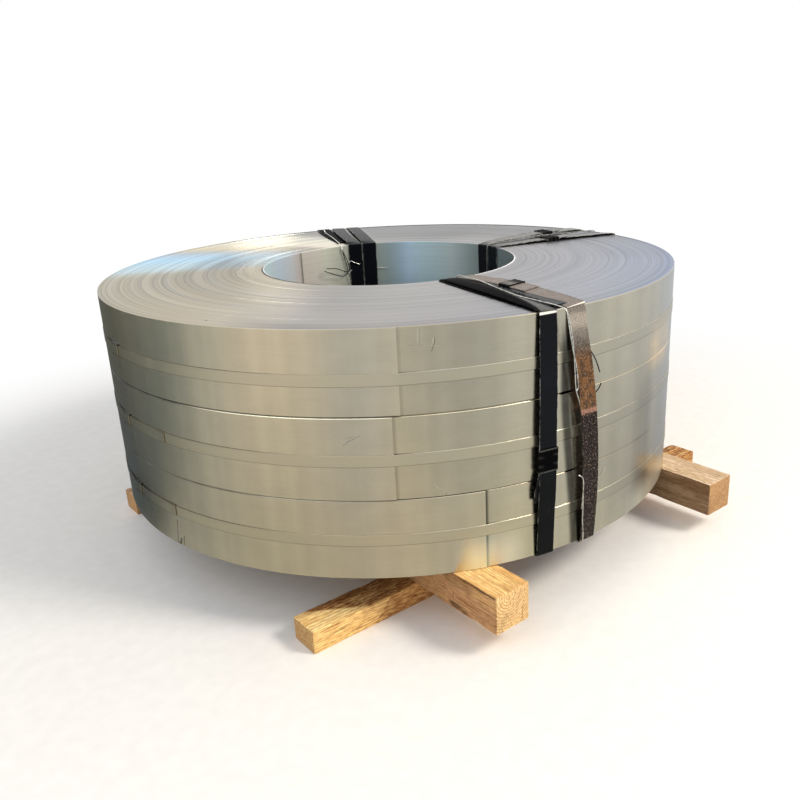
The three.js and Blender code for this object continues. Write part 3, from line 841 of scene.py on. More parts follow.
# Their materials are even colours: white or grey lines are painted highlights where the edge gleams, and a
# dark line runs along the edge at the left.
def makeLips():
    materials = []
    bm = bmesh.new()
    layers = layersOf(bm)
    steps = lips["steps"]

    def taper(i, a, o):
        return a * math.sin(math.pi * clamp(i / steps, 0.02, 0.98)) ** 0.5, o

    for number, (start, end, width, color) in enumerate(lips["lines"]):
        materials.append(plainMaterial(f"lip{number}", 0.0, 0.5, color))
        stations = []
        for i in range(steps + 1):
            angle = mix(start, end, i / steps)
            inner = stack["boreRadius"] + stack["lap"] * ((angle - coils["innerTail"]) % 360) / 360
            centre = polar(inner + 0.4 * mm + width * mm / 2, angle, stack["top"] + 0.03 * mm)
            stations.append((centre, polar(1, angle), Vector((0, 0, 1)), i * 0.01))
        before = len(bm.faces)
        section = stripSection(abs(width) * mm, marks["thickness"], marks["thickness"] / 4, 2)
        sweep(bm, stations, section, layers, taper)
        bm.faces.ensure_lookup_table()
        for face in bm.faces[before:]:
            face.material_index = number
    for x, y, size, color in lips["specks"]:
        number = len(materials)
        materials.append(plainMaterial(f"speck{number}", 0.0, 0.6, color))
        spot = bmesh.ops.create_circle(bm, cap_ends=True, segments=10, radius=size * mm,
                                       matrix=Matrix.Translation((x, y, stack["top"] + 0.05 * mm)))
        for face in {face for vertex in spot["verts"] for face in vertex.link_faces}:
            face.material_index = number
    finishPiece("topLips", bm, materials, ["coil_top"])


for coilName in ("bottom", "middle", "top"):
    makeCoil(coilName)
    makeMarks(coilName)
makeLips()
print("stage: coils done")


# A belt's drop is from its coil's upper edge. Tail and foot are its free end and its start beyond the seal.
belts = {
    "width": 19 * mm,
    "thickness": 0.8 * mm,
    "steps": 330,
    "sealAngle": 177,
    "sealLength": 32 * mm,
    "tail": 142 * mm,
    "foot": 26 * mm,
    "wander": 0.6 * mm,
    "drops": {"bottom": 66.5 * mm, "middle": 68 * mm, "top": 76 * mm},
    "endShade": {"bottom": 0.12, "middle": 0.1, "top": 0.0},
    "flushEnds": ("top",),      # belts whose free end lies flush
    "color": "#c2b8a1",
    "edgeHighlight": "#e4e2d8",
}


# Bright narrow steel strapping, with a painted highlight along its upper edge, patchy where rubbed and weak
# on the left, painted shade on that edge at the left and the back, painted shade along its lower edge, and
# the sides' painted patches.
def makeBeltSteel():
    material, shader = newMaterial("beltSteel", 1.0, 0.3, {"Anisotropic": 0.3})
    place = addNode(material, "TexCoord", output="UV")
    across = addNode(material, "SeparateXYZ", place).node.outputs["Y"]
    azimuth = azimuthOf(material)
    rub = noiseOn(material, place, (30, 300, 0), detail=3)
    half = belts["width"] / 2
    color = tinted(material, linearColor(belts["color"]), belts["edgeHighlight"],
                   addNode(material, "MapRange", across, half - 1.1 * mm, half - 0.5 * mm),
                   addNode(material, "MapRange", azimuth, -130, -120, 0.15, 1.0),
                   addNode(material, "MapRange", rub, 0.2, 0.6, 0.2, 0.7))
    turn = addNode(material, "FLOORED_MODULO", azimuth, 360.0)
    # Painted shade on the upper edge at the left and the back, and along the lower edge.
    atRim = addNode(material, "MapRange", across, half - 1.0 * mm, half - 0.3 * mm)
    rim = addNode(material, "MULTIPLY", atRim, addNode(material, "MapRange", turn, 205.0, 228.0, 0.65, 0.0))
    under = addNode(material, "MapRange", across, -half + 0.5 * mm, -half + 1.3 * mm, 0.55, 1.0)
    lines = noiseOn(material, place, (6, 1400, 0))
    shade = addNode(material, "ADD", addNode(material, "MapRange", lines, 0.3, 0.7, 0.96, 1.03),
                    addNode(material, "Attribute", attribute_name="tone"))
    shade = addNode(material, "MULTIPLY", shade, addNode(material, "SUBTRACT", under, rim))
    shade, glint, _ = addSidePatches(material, shade)
    color = tinted(material, color, steelSettings["glint"], glint)
    plug(material, shadedBy(material, color, shade), shader.inputs["Base Color"])
    return material


beltSteel = makeBeltSteel()


def beltLevel(name):
    coilFoot = stack["foot"] + coils[name]["level"] * stack["coilPitch"]
    return coilFoot + stack["coilWidth"] - belts["drops"][name]


# A belt once round its coil, its free end lying over its start.
def makeBelt(name):
    bm = bmesh.new()
    layers = layersOf(bm)
    perDegree = math.radians(1) * stack["beltOuter"]
    start = belts["sealAngle"] - belts["foot"] / perDegree
    end = belts["sealAngle"] + 360 + belts["tail"] / perDegree
    stations = []
    for i in range(belts["steps"] + 1):
        angle = mix(start, end, i / belts["steps"])
        raised = clamp((angle - start - 360) / 4 + 1)
        free = smooth(end - 6, end, angle)
        radius = (coilRadius(name, angle) + belts["thickness"] / 2 + 0.12 * mm
                  + raised * (belts["thickness"] + 0.1 * mm) + free * 0.5 * mm)
        if name in belts["flushEnds"]:
            radius -= (belts["thickness"] + 0.7 * mm) * smooth(end - 2.4, end, angle)
        wander = noise.noise(Vector((angle / 24, coils[name]["level"] * 7, 0)))
        level = beltLevel(name) + belts["wander"] * wander
        outward = polar(1, angle)
        stations.append((polar(radius, angle, level), Vector((0, 0, 1)), outward, i * perDegree))
    section = stripSection(belts["width"], belts["thickness"], 0.2 * mm, 4)
    sweep(bm, stations, section, layers,
          tone=lambda i, a, o: -belts["endShade"][name] if i >= belts["steps"] - 1 else 0.0)
    finishPiece(f"{name}Belt", bm, [beltSteel], [f"belt_{name}"])


# Seals, shared by the belts and the straps. Notches are crimped at these shares of the length.
seals = {
    "wall": 0.9 * mm,
    "stations": 14,
    "notches": (0.3, 0.7),
    "notchLength": 0.05,
    "sideNotch": 0.35 * mm,
    "topNotch": 0.45 * mm,
    "flare": 0.3 * mm,      # how far the lips stand out at both ends
    "flareLength": 0.06,
}


# How much of a notch there is at a share of the seal's length.
def notchAt(share):
    return max(math.exp(-((share - notch) / seals["notchLength"]) ** 2) for notch in seals["notches"])


# A strip folded round the bands, its lips meeting under them unless the back is open, with notches in both
# edges and, if wished, a painted reflection on the top that is pale on the side of the rim.
def makeSeal(name, stations, width, height, material, node, openBack=False, topReflection=0.0):
    bm = bmesh.new()
    layers = layersOf(bm)
    w, h, t = width / 2 + 0.35 * mm, height / 2 + 0.3 * mm, seals["wall"]
    lip = -w + 0.35 * w
    outerPath = [(lip, -h - t), (-w - t * 0.6, -h - t), (-w - t, -h - t * 0.4), (-w - t, h + t * 0.4),
                 (-w - t * 0.6, h + t), (-w * 0.4, h + t), (w * 0.4, h + t), (w + t * 0.6, h + t),
                 (w + t, h + t * 0.4), (w + t, -h - t * 0.4), (w + t * 0.6, -h - t), (-lip, -h - t)]
    innerPath = [(-lip, -h), (w, -h), (w, h), (-w, h), (-w, -h), (lip, -h)]
    if openBack:
        outerPath = [(-w - t, -h), (-w - t, h + t * 0.4), (-w - t * 0.6, h + t), (-w * 0.4, h + t),
                     (w * 0.4, h + t), (w + t * 0.6, h + t), (w + t, h + t * 0.4), (w + t, -h)]
        innerPath = [(w, -h), (w, h), (-w, h), (-w, -h)]
    last = len(stations) - 1

    def shape(i, a, o):
        pinch, toEnd = notchAt(i / last), min(i, last - i) / last
        flare = math.exp(-(toEnd / seals["flareLength"]) ** 2) * seals["flare"]
        if abs(a) > w * 0.85:
            a -= math.copysign(pinch * seals["sideNotch"], a)
        if o > 0 and abs(a) > w * 0.3:
            o -= pinch * seals["topNotch"]
        return a + math.copysign(flare, a) * (abs(a) > w * 0.85), o + (flare if o > 0 else 0.0)

    # Worn crimps and ends, and the painted reflection on the top.
    def tone(i, a, o):
        worn = 0.1 * notchAt(i / last) if abs(a) > w * 0.8 else 0.0
        ends = 0.3 if i in (0, last) and not topReflection else 0.0
        onTop = o > h and abs(a) < w * 0.9 and 0 < i < last
        pale = topReflection * (1.0 if a < 0 else 0.2) if onTop else 0.0
        return max(worn, ends, pale)

    sweep(bm, stations, outerPath + innerPath, layers, shape, tone)
    finishPiece(name, bm, [material], [node])


for coilName in ("bottom", "middle", "top"):
    makeBelt(coilName)
    level = beltLevel(coilName)
    span = belts["sealLength"] / stack["beltOuter"]
    layerMiddle = coilRadius(coilName, belts["sealAngle"]) + belts["thickness"] + 0.2 * mm
    sealStations = []
    for i in range(seals["stations"]):
        angle = belts["sealAngle"] + math.degrees(span) * (i / (seals["stations"] - 1) - 0.5)
        sealStations.append((polar(layerMiddle, angle, level), Vector((0, 0, 1)), polar(1, angle),
                             span * i / seals["stations"]))
    makeSeal(f"{coilName}BeltSeal", sealStations, belts["width"], 2 * belts["thickness"] + stack["seatGap"],
             beltSteel, f"belt_seal_{coilName}", openBack=True)
print("stage: belts done")


strapSettings = {
    "width": 32 * mm,
    "thickness": 0.9 * mm,
    "bend": 1.6 * mm,
    "ramp": 24 * mm,
    "black": "#0b0c10",
    # sheen is a painted sheen in patches; worn is also the colour of painted reflections on top runs and seal
    # tops, and shine that of the painted highlight on the bend at the rim.
    "sheen": "#14171c",
    "worn": "#a3a29c",
    "shine": "#e6e4de",
    "sealBlack": "#08080a",
    "rustDark": "#15100e",
    "rustBrown": "#2c221c",
    "rustOrange": "#74502f",
    "rustPale": "#726b65",
    # A pale crease with a painted highlight.
    "rustCreaseHighlight": "#a87c6a",
    "rustFleck": "#a08878",
    "rustPit": "#231712",
    "rustRubbed": "#c9c0b2",
    # A painted reflection on the top run, and the painted shine on the bend at the rim.
    "rustTopReflection": "#a69b97",
    "rustShine": "#ece4d8",
}

# Angles are in degrees, as (foot, top). topBow and outerBow are how far a slack run stands off. lean is
# how far the top run tips on one long edge, as degrees at the bore and at the rim, outerTilt the same for
# the outer run. shine is how far below the top the bend at the rim gets a painted highlight, from and to.
# drift slides the loose end sideways, topTone and endTone are how pale a painted reflection makes the top
# run and the loose end, and a strap with under set has its loose end beneath. fold is a crease along the
# top run, as (share of the way out, mm from the middle, height in mm); its near half is painted dark as
# shade and its ridge and far half paler as if lit.
straps = {
    "frontBlack": {"node": "strap_front_black", "bore": (-102.3, -102.3), "rim": (-102.6, -102.3),
                   "topBow": 1, "outerBow": 6, "lean": (-3, -4), "shine": (2.0, 5.4), "outerTilt": 0,
                   "run": "outer", "at": 232, "seal": 38, "foot": 18, "tail": 69, "lift": 1.5, "drift": 7,
                   "under": True, "topTone": 0.0, "endTone": 0.0,
                   "fold": [(0.0, 12, 0.0), (0.1, 12, 3.0), (0.3, 9, 5.0), (0.45, 6.5, 5.0), (0.69, 1.5, 4.5),
                            (0.84, -4, 3.5), (0.95, -9, 1.2), (1.0, -14, 0.0)]},
    "frontRusty": {"node": "strap_front_rusty", "bore": (-94.3, -94.5), "rim": (-93.6, -97.2),
                   "topBow": 5, "outerBow": 10, "lean": (2, 11), "shine": (1.48, 2.2), "outerTilt": 3,
                   "run": "top", "at": 164, "seal": 28, "foot": 45, "tail": 54, "lift": 0.8, "drift": 0,
                   "under": False, "topTone": 0.36, "endTone": 0.45},
    "backLeft": {"node": "strap_back_left", "bore": (71.7, 71.7), "rim": (68.0, 67.5),
                 "topBow": 2, "outerBow": 5, "lean": (8, 2), "shine": (0.6, 2.4), "outerTilt": 0,
                 "run": "outer", "at": 210, "seal": 38, "foot": 45, "tail": 50, "lift": 2, "drift": 0,
                 "under": False, "topTone": 0.0, "endTone": 0.5},
    "backRight": {"node": "strap_back_right", "bore": (64.5, 64.1), "rim": (63.4, 63.6),
                  "topBow": 2, "outerBow": 4, "lean": (5, 1), "shine": (0.6, 2.4), "outerTilt": 0,
                  "run": "outer", "at": 165, "seal": 38, "foot": 45, "tail": 44, "lift": 2, "drift": 0,
                  "under": False, "topTone": 0.0, "endTone": 0.5},
    "rightRear": {"node": "strap_right_rear", "bore": (-2.4, -2.4), "rim": (-1.4, -1.4),
                  "topBow": 5, "outerBow": 4, "lean": (3, 2), "shine": (0.6, 2.4), "outerTilt": 0,
                  "run": "top", "at": 118, "seal": 26, "foot": 45, "tail": 40, "lift": 3, "drift": 0,
                  "under": False, "topTone": 0.5, "endTone": 0.5},
    "rightFront": {"node": "strap_right_front", "bore": (-10.3, -10.3), "rim": (-12.6, -13.0),
                   "topBow": 2, "outerBow": 4, "lean": (-1.5, -4), "shine": (0.6, 2.4), "outerTilt": 0,
                   "run": "top", "at": 162, "seal": 28, "foot": 45, "tail": 46, "lift": 3, "drift": 0,
                   "under": False, "topTone": 0.5, "endTone": 0.5},
}


# Seals that stand higher than the bands in them, and how pale the painted reflection on their tops is.
raisedSeals = {"frontRusty": (2.6 * mm, 1.0), "rightFront": (4.0 * mm, 0.0), "rightRear": (2.0 * mm, 0.0)}

# Lengths of strap that lie under or beside a strap on the top face, as (radius, azimuth, height) from
# and to, with how worn their edges are. Those of frontBlack, backLeft and rightFront are dull black strips
# laid where a raised strap's shade falls, and stand for that shade as painted shadow; frontRusty's is a loose
# end whose wear below nought gives its far edge a painted highlight.
looseEndsAndShadowStrips = {
    "frontBlack": ((0.262, -103.6, 0.6 * mm), (0.557, -102.2, 0.6 * mm), 0.0),
    "frontRusty": ((0.36, -96.6, 5.8 * mm), (0.55, -98.3, 3.8 * mm), -1.0),
    "backLeft": ((0.30, 74.4, 0.9 * mm), (0.556, 71.9, 2.2 * mm), 0.0),
    "rightFront": ((0.262, -10.9, 0.6 * mm), (0.558, -12.4, 0.6 * mm), 0.0),
}


# Black lacquered steel strapping: a thin glossy coat with bare, worn edges and a few scuffs, patches of
# painted sheen, painted shade darker towards the bottom, and where the tone says so painted reflections in
# the worn colour and painted highlights in the shine colour.
def makeStrapPaint(name, specular, ior):
    material, shader = newMaterial(name, 0.0, 0.3, {"Specular IOR Level": specular, "IOR": ior})
    place = addNode(material, "TexCoord", output="UV")
    across = addNode(material, "SeparateXYZ", place).node.outputs["Y"]
    half = strapSettings["width"] / 2
    edge = addNode(material, "MapRange", addNode(material, "ABSOLUTE", across), half - 1.4 * mm, half)
    rub = noiseOn(material, place, (60, 260, 0), detail=4, roughness=0.65)
    scuffs = noiseOn(material, place, (24, 420, 0), (0, 0, 2), 3)
    worn = addNode(material, "MULTIPLY", edge, addNode(material, "MapRange", rub, 0.45, 0.62), use_clamp=True)
    worn = addNode(material, "MAXIMUM", worn, addNode(material, "MapRange", scuffs, 0.70, 0.80, 0.0, 0.35))
    tone = addNode(material, "Attribute", attribute_name="tone")
    worn = addNode(material, "MULTIPLY", worn, addNode(material, "ADD", tone, 1.0, use_clamp=True))
    worn = addNode(material, "MAXIMUM", worn, tone, use_clamp=True)
    sheen = addNode(material, "MapRange", noiseOn(material, place, (9, 0, 0)), 0.3, 0.7, 0.0, 0.45)
    shine = addNode(material, "MapRange", tone, 0.8, 1.0)
    color = linearColor(strapSettings["black"])
    for tint, share in (("sheen", sheen), ("worn", worn), ("shine", shine)):
        color = tinted(material, color, strapSettings[tint], share)
    # Painted shade: darker towards the bottom.
    shade = addNode(material, "MapRange", placeParts(material)["Z"], 0.15, 0.42, 0.45, 1.0)
    plug(material, shadedBy(material, color, shade), shader.inputs["Base Color"])
    plug(material, addNode(material, "MapRange", rub, 0.3, 0.7, 0.24, 0.34), shader.inputs["Roughness"])
    plug(material, addNode(material, "Bump", {"Strength": 0.06, "Distance": 0.0003, "Height": rub}),
         shader.inputs["Normal"])
    return material


# Steel strapping gone rusty: a dark crust low down, orange in the middle and rubbed pale at the top, all with
# flecks and grit, a pale crease with a painted highlight, and where the tone says so a painted reflection on
# the top run and a painted shine on the bend at the rim.
def makeRustyStrap():
    material, shader = newMaterial("rustyStrap", 0.0, 0.62, {"Specular IOR Level": 0.15})
    place = addNode(material, "TexCoord", output="UV")
    z = placeParts(material)["Z"]
    coarse = addNode(material, "TexNoise", place, None, 95, 5, 0.65)
    fine = addNode(material, "TexNoise", place, None, 520, 3, 0.7)
    flecks = addNode(material, "TexNoise", place, None, 360, 3, 0.6)
    grit = addNode(material, "TexNoise", place, None, 900, 2, 0.6)
    tone = addNode(material, "Attribute", attribute_name="tone")

    # Height with a ragged edge, faded between two levels.
    def ragged(pattern, depth, *levels):
        return addNode(material, "MapRange", addNode(material, "MULTIPLY_ADD", pattern, depth, z), *levels)

    upper = ragged(coarse, 0.05, 0.445, 0.51)
    color = linearColor(strapSettings["rustDark"])
    for tint, pattern, levels, *masks in (
            ("rustBrown", fine, (0.52, 0.66)),
            ("rustOrange", coarse, (0.4, 0.58, 0.3, 1.0), ragged(coarse, 0.02, 0.343, 0.354),
             ragged(coarse, 0.06, 0.455, 0.485, 1.0, 0.0)),
            ("rustPale", fine, (0.35, 0.6, 0.55, 1.0), upper),
            ("rustCreaseHighlight", fine, (0.35, 0.6, 0.3, 0.9), ragged(coarse, 0.008, 0.336, 0.339),
             ragged(fine, 0.008, 0.345, 0.348, 1.0, 0.0)),
            ("rustFleck", flecks, (0.56, 0.64, 0.0, 0.6)),
            ("rustPit", flecks, (0.44, 0.36, 0.0, 0.75)),
            ("rustRubbed", grit, (0.42, 0.58), upper,
             addNode(material, "MapRange", z, 0.466, 0.480, 0.34, 0.85),
             addNode(material, "MapRange", z, 0.492, 0.500, 1.0, 0.3)),
            ("rustTopReflection", fine, (0.4, 0.6, 0.35, 1.0), tone),
            ("rustShine", tone, (0.8, 1.0))):
        share = addNode(material, "MapRange", pattern, *levels)
        color = tinted(material, color, strapSettings[tint], share, *masks)
    plug(material, color, shader.inputs["Base Color"])
    plug(material, addNode(material, "MapRange", coarse, 0.35, 0.65, 0.42, 0.75), shader.inputs["Roughness"])
    height = addNode(material, "ADD", fine, coarse)
    plug(material, addNode(material, "Bump", {"Strength": 0.6, "Distance": 0.0006, "Height": height}),
         shader.inputs["Normal"])
    return material


# Black painted sheet steel, dull, with its crimps rubbed to metal, and on some tops a painted reflection in
# the same pale colour. The strips that stand for a strap's shade and the near half of a fold use it too.
def makeSealPaint():
    material, shader = newMaterial("blackSeal", 0.0, 0.5, {"Specular IOR Level": 0.1, "IOR": 1.12})
    scuffs = addNode(material, "TexNoise", addNode(material, "TexCoord", output="Object"), None, 420, 3)
    color = tinted(material, linearColor(strapSettings["sealBlack"]), strapSettings["worn"],
                   addNode(material, "Attribute", attribute_name="tone"),
                   addNode(material, "MapRange", scuffs, 0.3, 0.6, 0.3, 0.9))
    plug(material, color, shader.inputs["Base Color"])
    return material


strapPaint, dullPaint = makeStrapPaint("lacqueredStrap", 0.4, 1.21), makeStrapPaint("dullStrap", 0.2, 1.12)
rustyStrap, sealPaint = makeRustyStrap(), makeSealPaint()
strapPaints = {"frontRusty": rustyStrap, "backLeft": dullPaint, "backRight": dullPaint}


# The band's loop in the plane of radius and height, clockwise from the foot of the bore, as corners
# of (radius, height). It repeats part.mjs.
def eyeLoop(settings):
    half = strapSettings["thickness"] / 2
    bend, off = strapSettings["bend"] + half, stack["seatGap"] + half
    flatOfBore = stack["boreRadius"] * math.cos(math.pi / 72)       # the CAD's bore has 72 flats
    inner = math.sqrt(flatOfBore ** 2 - (strapSettings["width"] / 2) ** 2) - off
    outer, top, foot = stack["beltOuter"] + off, stack["top"] + off, stack["foot"] - off
    points = [(inner, foot + bend), (inner, stack["top"] - 0.12), (inner, stack["top"] - 0.02)]

    def arc(centreR, centreZ, start):
        for i in range(7):
            angle = math.radians(start - 15 * i)
            points.append((centreR + bend * math.cos(angle), centreZ + bend * math.sin(angle)))

    steps = 36
    arc(inner + bend, top - bend, 180)
    for u in [i / steps for i in range(1, steps)] + [0.9945, 0.998]:
        points.append((mix(inner + bend, outer - bend, u), top + settings["topBow"] * mm * 4 * u * (1 - u)))
    arc(outer - bend, top - bend, 90)
    for u in [0.0015, 0.004, 0.0065] + [i / steps for i in range(1, steps)]:
        points.append((outer + settings["outerBow"] * mm * 4 * u * (1 - u), mix(top - bend, foot + bend, u)))
    arc(outer - bend, foot + bend, 0)
    arc(inner + bend, foot + bend, -90)
    return points, (inner, outer, top, foot)


# How far along the loop each corner is, and its whole length last.
def measureLoop(points):
    starts = [0.0]
    for (r0, z0), (r1, z1) in zip(points, points[1:] + points[:1]):
        starts.append(starts[-1] + math.hypot(r1 - r0, z1 - z0))
    return starts


# The place on the loop at a distance, and the direction there.
def loopAt(points, starts, distance):
    length = starts[-1]
    wrapped = distance % length
    i = max(next((k for k, s in enumerate(starts) if s > wrapped), len(points)) - 1, 0)
    (r0, z0), (r1, z1) = points[i], points[(i + 1) % len(points)]
    size = starts[i + 1] - starts[i]
    share = (wrapped - starts[i]) / size
    along = ((r1 - r0) / size, (z1 - z0) / size)
    return (mix(r0, r1, share), mix(z0, z1, share)), along


# The distance at which the middle of the seal is.
def sealDistance(settings, points, starts):
    onTop = settings["run"] == "top"
    target = stack["outerRadius"] - settings["at"] * mm if onTop else stack["top"] - settings["at"] * mm
    distance = 0.0
    while distance < starts[-1]:
        (r, z), along = loopAt(points, starts, distance)
        if (r >= target and along[0] > 0.5) if onTop else (z <= target and along[1] < -0.5):
            return distance
        distance += 0.5 * mm
    return 0.0


# The azimuth of the band's middle at a radius and height.
def bandAngle(settings, reach, r, z):
    inner, outer, top, foot = reach
    u = clamp((r - inner) / (outer - inner))
    v = clamp((z - foot) / (top - foot))
    rim = mix(settings["rim"][0], settings["rim"][1], v * v)
    bore = mix(settings["bore"][0], settings["bore"][1], v)
    return mix(bore, rim, u)


# Stations along the band, with the plane's outward direction turned by the band's own tilt.
def bandStations(settings, points, starts, reach, distances, raised):
    stations = []
    for distance in distances:
        r, z = loopAt(points, starts, distance)[0]
        before, after = (Vector(loopAt(points, starts, distance + gap)[0]) for gap in (-0.4 * mm, 0.4 * mm))
        tangent = (after - before).normalized()
        out = (-tangent.y, tangent.x)
        lift = raised(distance)
        r, z = r + out[0] * lift, z + out[1] * lift
        angle = bandAngle(settings, reach, r, z)
        radial, sideways = polar(1, angle), polar(1, angle + 90)
        centre = radial * r + Vector((0, 0, z))
        outward = radial * out[0] + Vector((0, 0, out[1]))
        u = clamp((r - reach[0]) / (reach[1] - reach[0]))
        v = clamp((z - reach[3]) / (reach[2] - reach[3]))
        tilt = (settings["outerTilt"] * 4 * v * (1 - v) + settings["lean"][1] * smooth(0.9, 1, v)) * (u > 0.5)
        if z > stack["top"]:
            tilt = mix(*settings["lean"], u * u) * smooth(0, 0.09, u)
            centre += outward * strapSettings["width"] / 2 * math.sin(math.radians(abs(tilt)))
        turn = Matrix.Rotation(math.radians(tilt), 3, sideways.cross(outward))
        stations.append((centre, turn @ sideways, turn @ outward, distance))
    return stations


# Distances of the stations: every corner of the loop and so many steps between, none closer than 0.25 mm.
def bandDistances(starts, begin, end, step):
    length = starts[-1]
    stops = {begin, end}
    lap = math.floor(begin / length)
    while lap * length < end:
        stops.update(s + lap * length for s in starts[:-1])
        lap += 1
    count = int((end - begin) / step)
    stops.update(mix(begin, end, i / count) for i in range(count + 1))
    inside = sorted(s for s in stops if begin <= s <= end)
    kept = [inside[0]]
    for stop in inside[1:]:
        if stop - kept[-1] > 0.25 * mm:
            kept.append(stop)
    return kept


# A length of strap that lies loose on the top face, from one (radius, azimuth, height) to another.
def looseStrip(bm, layers, start, finish, wearAndHighlight, width, steps=8):
    stations = []
    for i in range(steps + 1):
        radius, azimuth, height = (mix(a, b, i / steps) for a, b in zip(start, finish))
        sag = 0.6 * mm * math.sin(math.pi * i / steps)
        stations.append((polar(radius, azimuth, stack["top"] + height + sag), polar(1, azimuth + 90),
                         Vector((0, 0, 1)), radius))
    # Below nought, the far edge gets a painted highlight and the near edge less wear.
    sweep(bm, stations, stripSection(width, strapSettings["thickness"], 0.2 * mm, 4), layers,
          tone=lambda i, a, o: mix(-0.6, 0.35, (a + width / 2) / width) if wearAndHighlight < 0 else wearAndHighlight)


# The crease's place and height in mm where the band is on the top run, or None.
def foldAt(settings, r, z, reach):
    if "fold" not in settings or z < stack["top"]:
        return None
    u = clamp((r - reach[0]) / (reach[1] - reach[0]))
    for (u0, place0, height0), (u1, place1, height1) in zip(settings["fold"], settings["fold"][1:]):
        if u <= u1:
            share = (u - u0) / (u1 - u0)
            return mix(place0, place1, share), mix(height0, height1, share)
    return None


# A strap round the wall of the stack, with its seal and any loose end.
def makeStrap(name):
    settings = straps[name]
    width, thickness = strapSettings["width"], strapSettings["thickness"]
    points, reach = eyeLoop(settings)
    starts = measureLoop(points)
    length = starts[-1]
    sealAt = sealDistance(settings, points, starts)
    tail = settings["tail"] * mm
    begin, end = sealAt - settings["foot"] * mm, sealAt + length + tail
    layerStep, ramp = thickness + stack["seatGap"], strapSettings["ramp"]
    half = settings["seal"] * mm / 2

    # How far the band stands off, where it lies over or under itself and where its loose end lifts.
    def raised(distance):
        past = max(distance - sealAt - length - half, 0) / tail
        lifted = settings["lift"] * mm * past ** 1.1
        if settings["under"]:
            return layerStep * clamp((sealAt + tail + ramp - distance) / ramp) - lifted
        return layerStep * clamp((distance - begin - length) / ramp + 1) + lifted

    distances = bandDistances(starts, begin, end, 9 * mm)
    stations = bandStations(settings, points, starts, reach, distances, raised)
    tailFrom = sealAt + length + half
    folds = [foldAt(settings, *loopAt(points, starts, distance)[0], reach) for distance in distances]

    # The band's crown, crease and waver, and its loose end slid aside.
    def shape(i, a, o):
        past = clamp((distances[i] - tailFrom) / tail)
        crown = 0.25 * mm * (1 - (a / (width / 2)) ** 2)
        if folds[i]:
            place, height, w = folds[i][0] * mm, folds[i][1] * mm, width / 2
            a = mix(-w, place, (a + w) / w) if a < 0 else mix(w, place, (w - a) / w)
            crown = height / 0.4 * (1 - abs(a - place) / (w + place if a < place else w - place))
        wobble = 0.35 * mm * noise.noise(Vector((distances[i] * 14, settings["at"], 0)))
        return a - settings["drift"] * mm * min(past * 2.2, 1.0) + wobble, o + crown * 0.4

    # How worn the band is, and where it is painted paler: a painted highlight on the bend at the rim, a
    # painted reflection on the top run and the loose end, and on the fold painted light on the ridge and far
    # half.
    def tone(i, a, o):
        r, z = loopAt(points, starts, distances[i])[0]
        drop = (stack["top"] + 2 * mm - z) / mm
        if reach[1] - r < 6 * mm and settings["shine"][0] < drop < settings["shine"][1]:
            return 1.0
        if distances[i] > tailFrom and settings["run"] == "top":
            return settings["endTone"] if abs(a) < width * 0.4 else 0.0
        if folds[i] and o > 0:
            return 0.12 if abs(a) < 0.1 * mm else 0.01 if a < 0 else 0.2
        if z > stack["top"] and o > 0 and abs(a) < width * 0.44:
            return settings["topTone"] * smooth(0.0, 0.03, r - reach[0])
        return 0.5 if i in (0, len(distances) - 1) and not settings["under"] else 0.0

    bm = bmesh.new()
    layers = layersOf(bm)
    # On the fold, the faces of the near half take the seals' dull black as painted shade.
    sweep(bm, stations, stripSection(width, thickness, 0.22 * mm, 6), layers, shape, tone,
          lambda i, j: 1 if folds[i] and j <= 4 else 0)
    material = strapPaints.get(name, strapPaint)
    finishPiece(f"{name}Strap", bm, [material, sealPaint], [settings["node"]])
    # Under or beside the strap lies a dull black strip that paints its shade, or for the rusty strap its
    # loose end.
    if name in looseEndsAndShadowStrips:
        bm = bmesh.new()
        looseStrip(bm, layersOf(bm), *looseEndsAndShadowStrips[name], width)
        paint = strapPaint if looseEndsAndShadowStrips[name][2] < 0 else sealPaint
        finishPiece(f"{name}LooseEndAndShadowStrip", bm, [paint], [settings["node"]])

    spots = [mix(sealAt - half, sealAt + half, i / (seals["stations"] - 1)) for i in range(seals["stations"])]
    sealStations = bandStations(settings, points, starts, reach, spots, lambda d: layerStep / 2)
    rise, topReflection = raisedSeals.get(name, (0.0, 0.0))
    height = 2 * thickness + stack["seatGap"] + rise
    makeSeal(f"{name}Seal", sealStations, width + 0.4 * mm, height, sealPaint,
             settings["node"].replace("strap", "strap_seal"), topReflection=topReflection)


for strapName in straps:
    makeStrap(strapName)
print("stage: straps done")


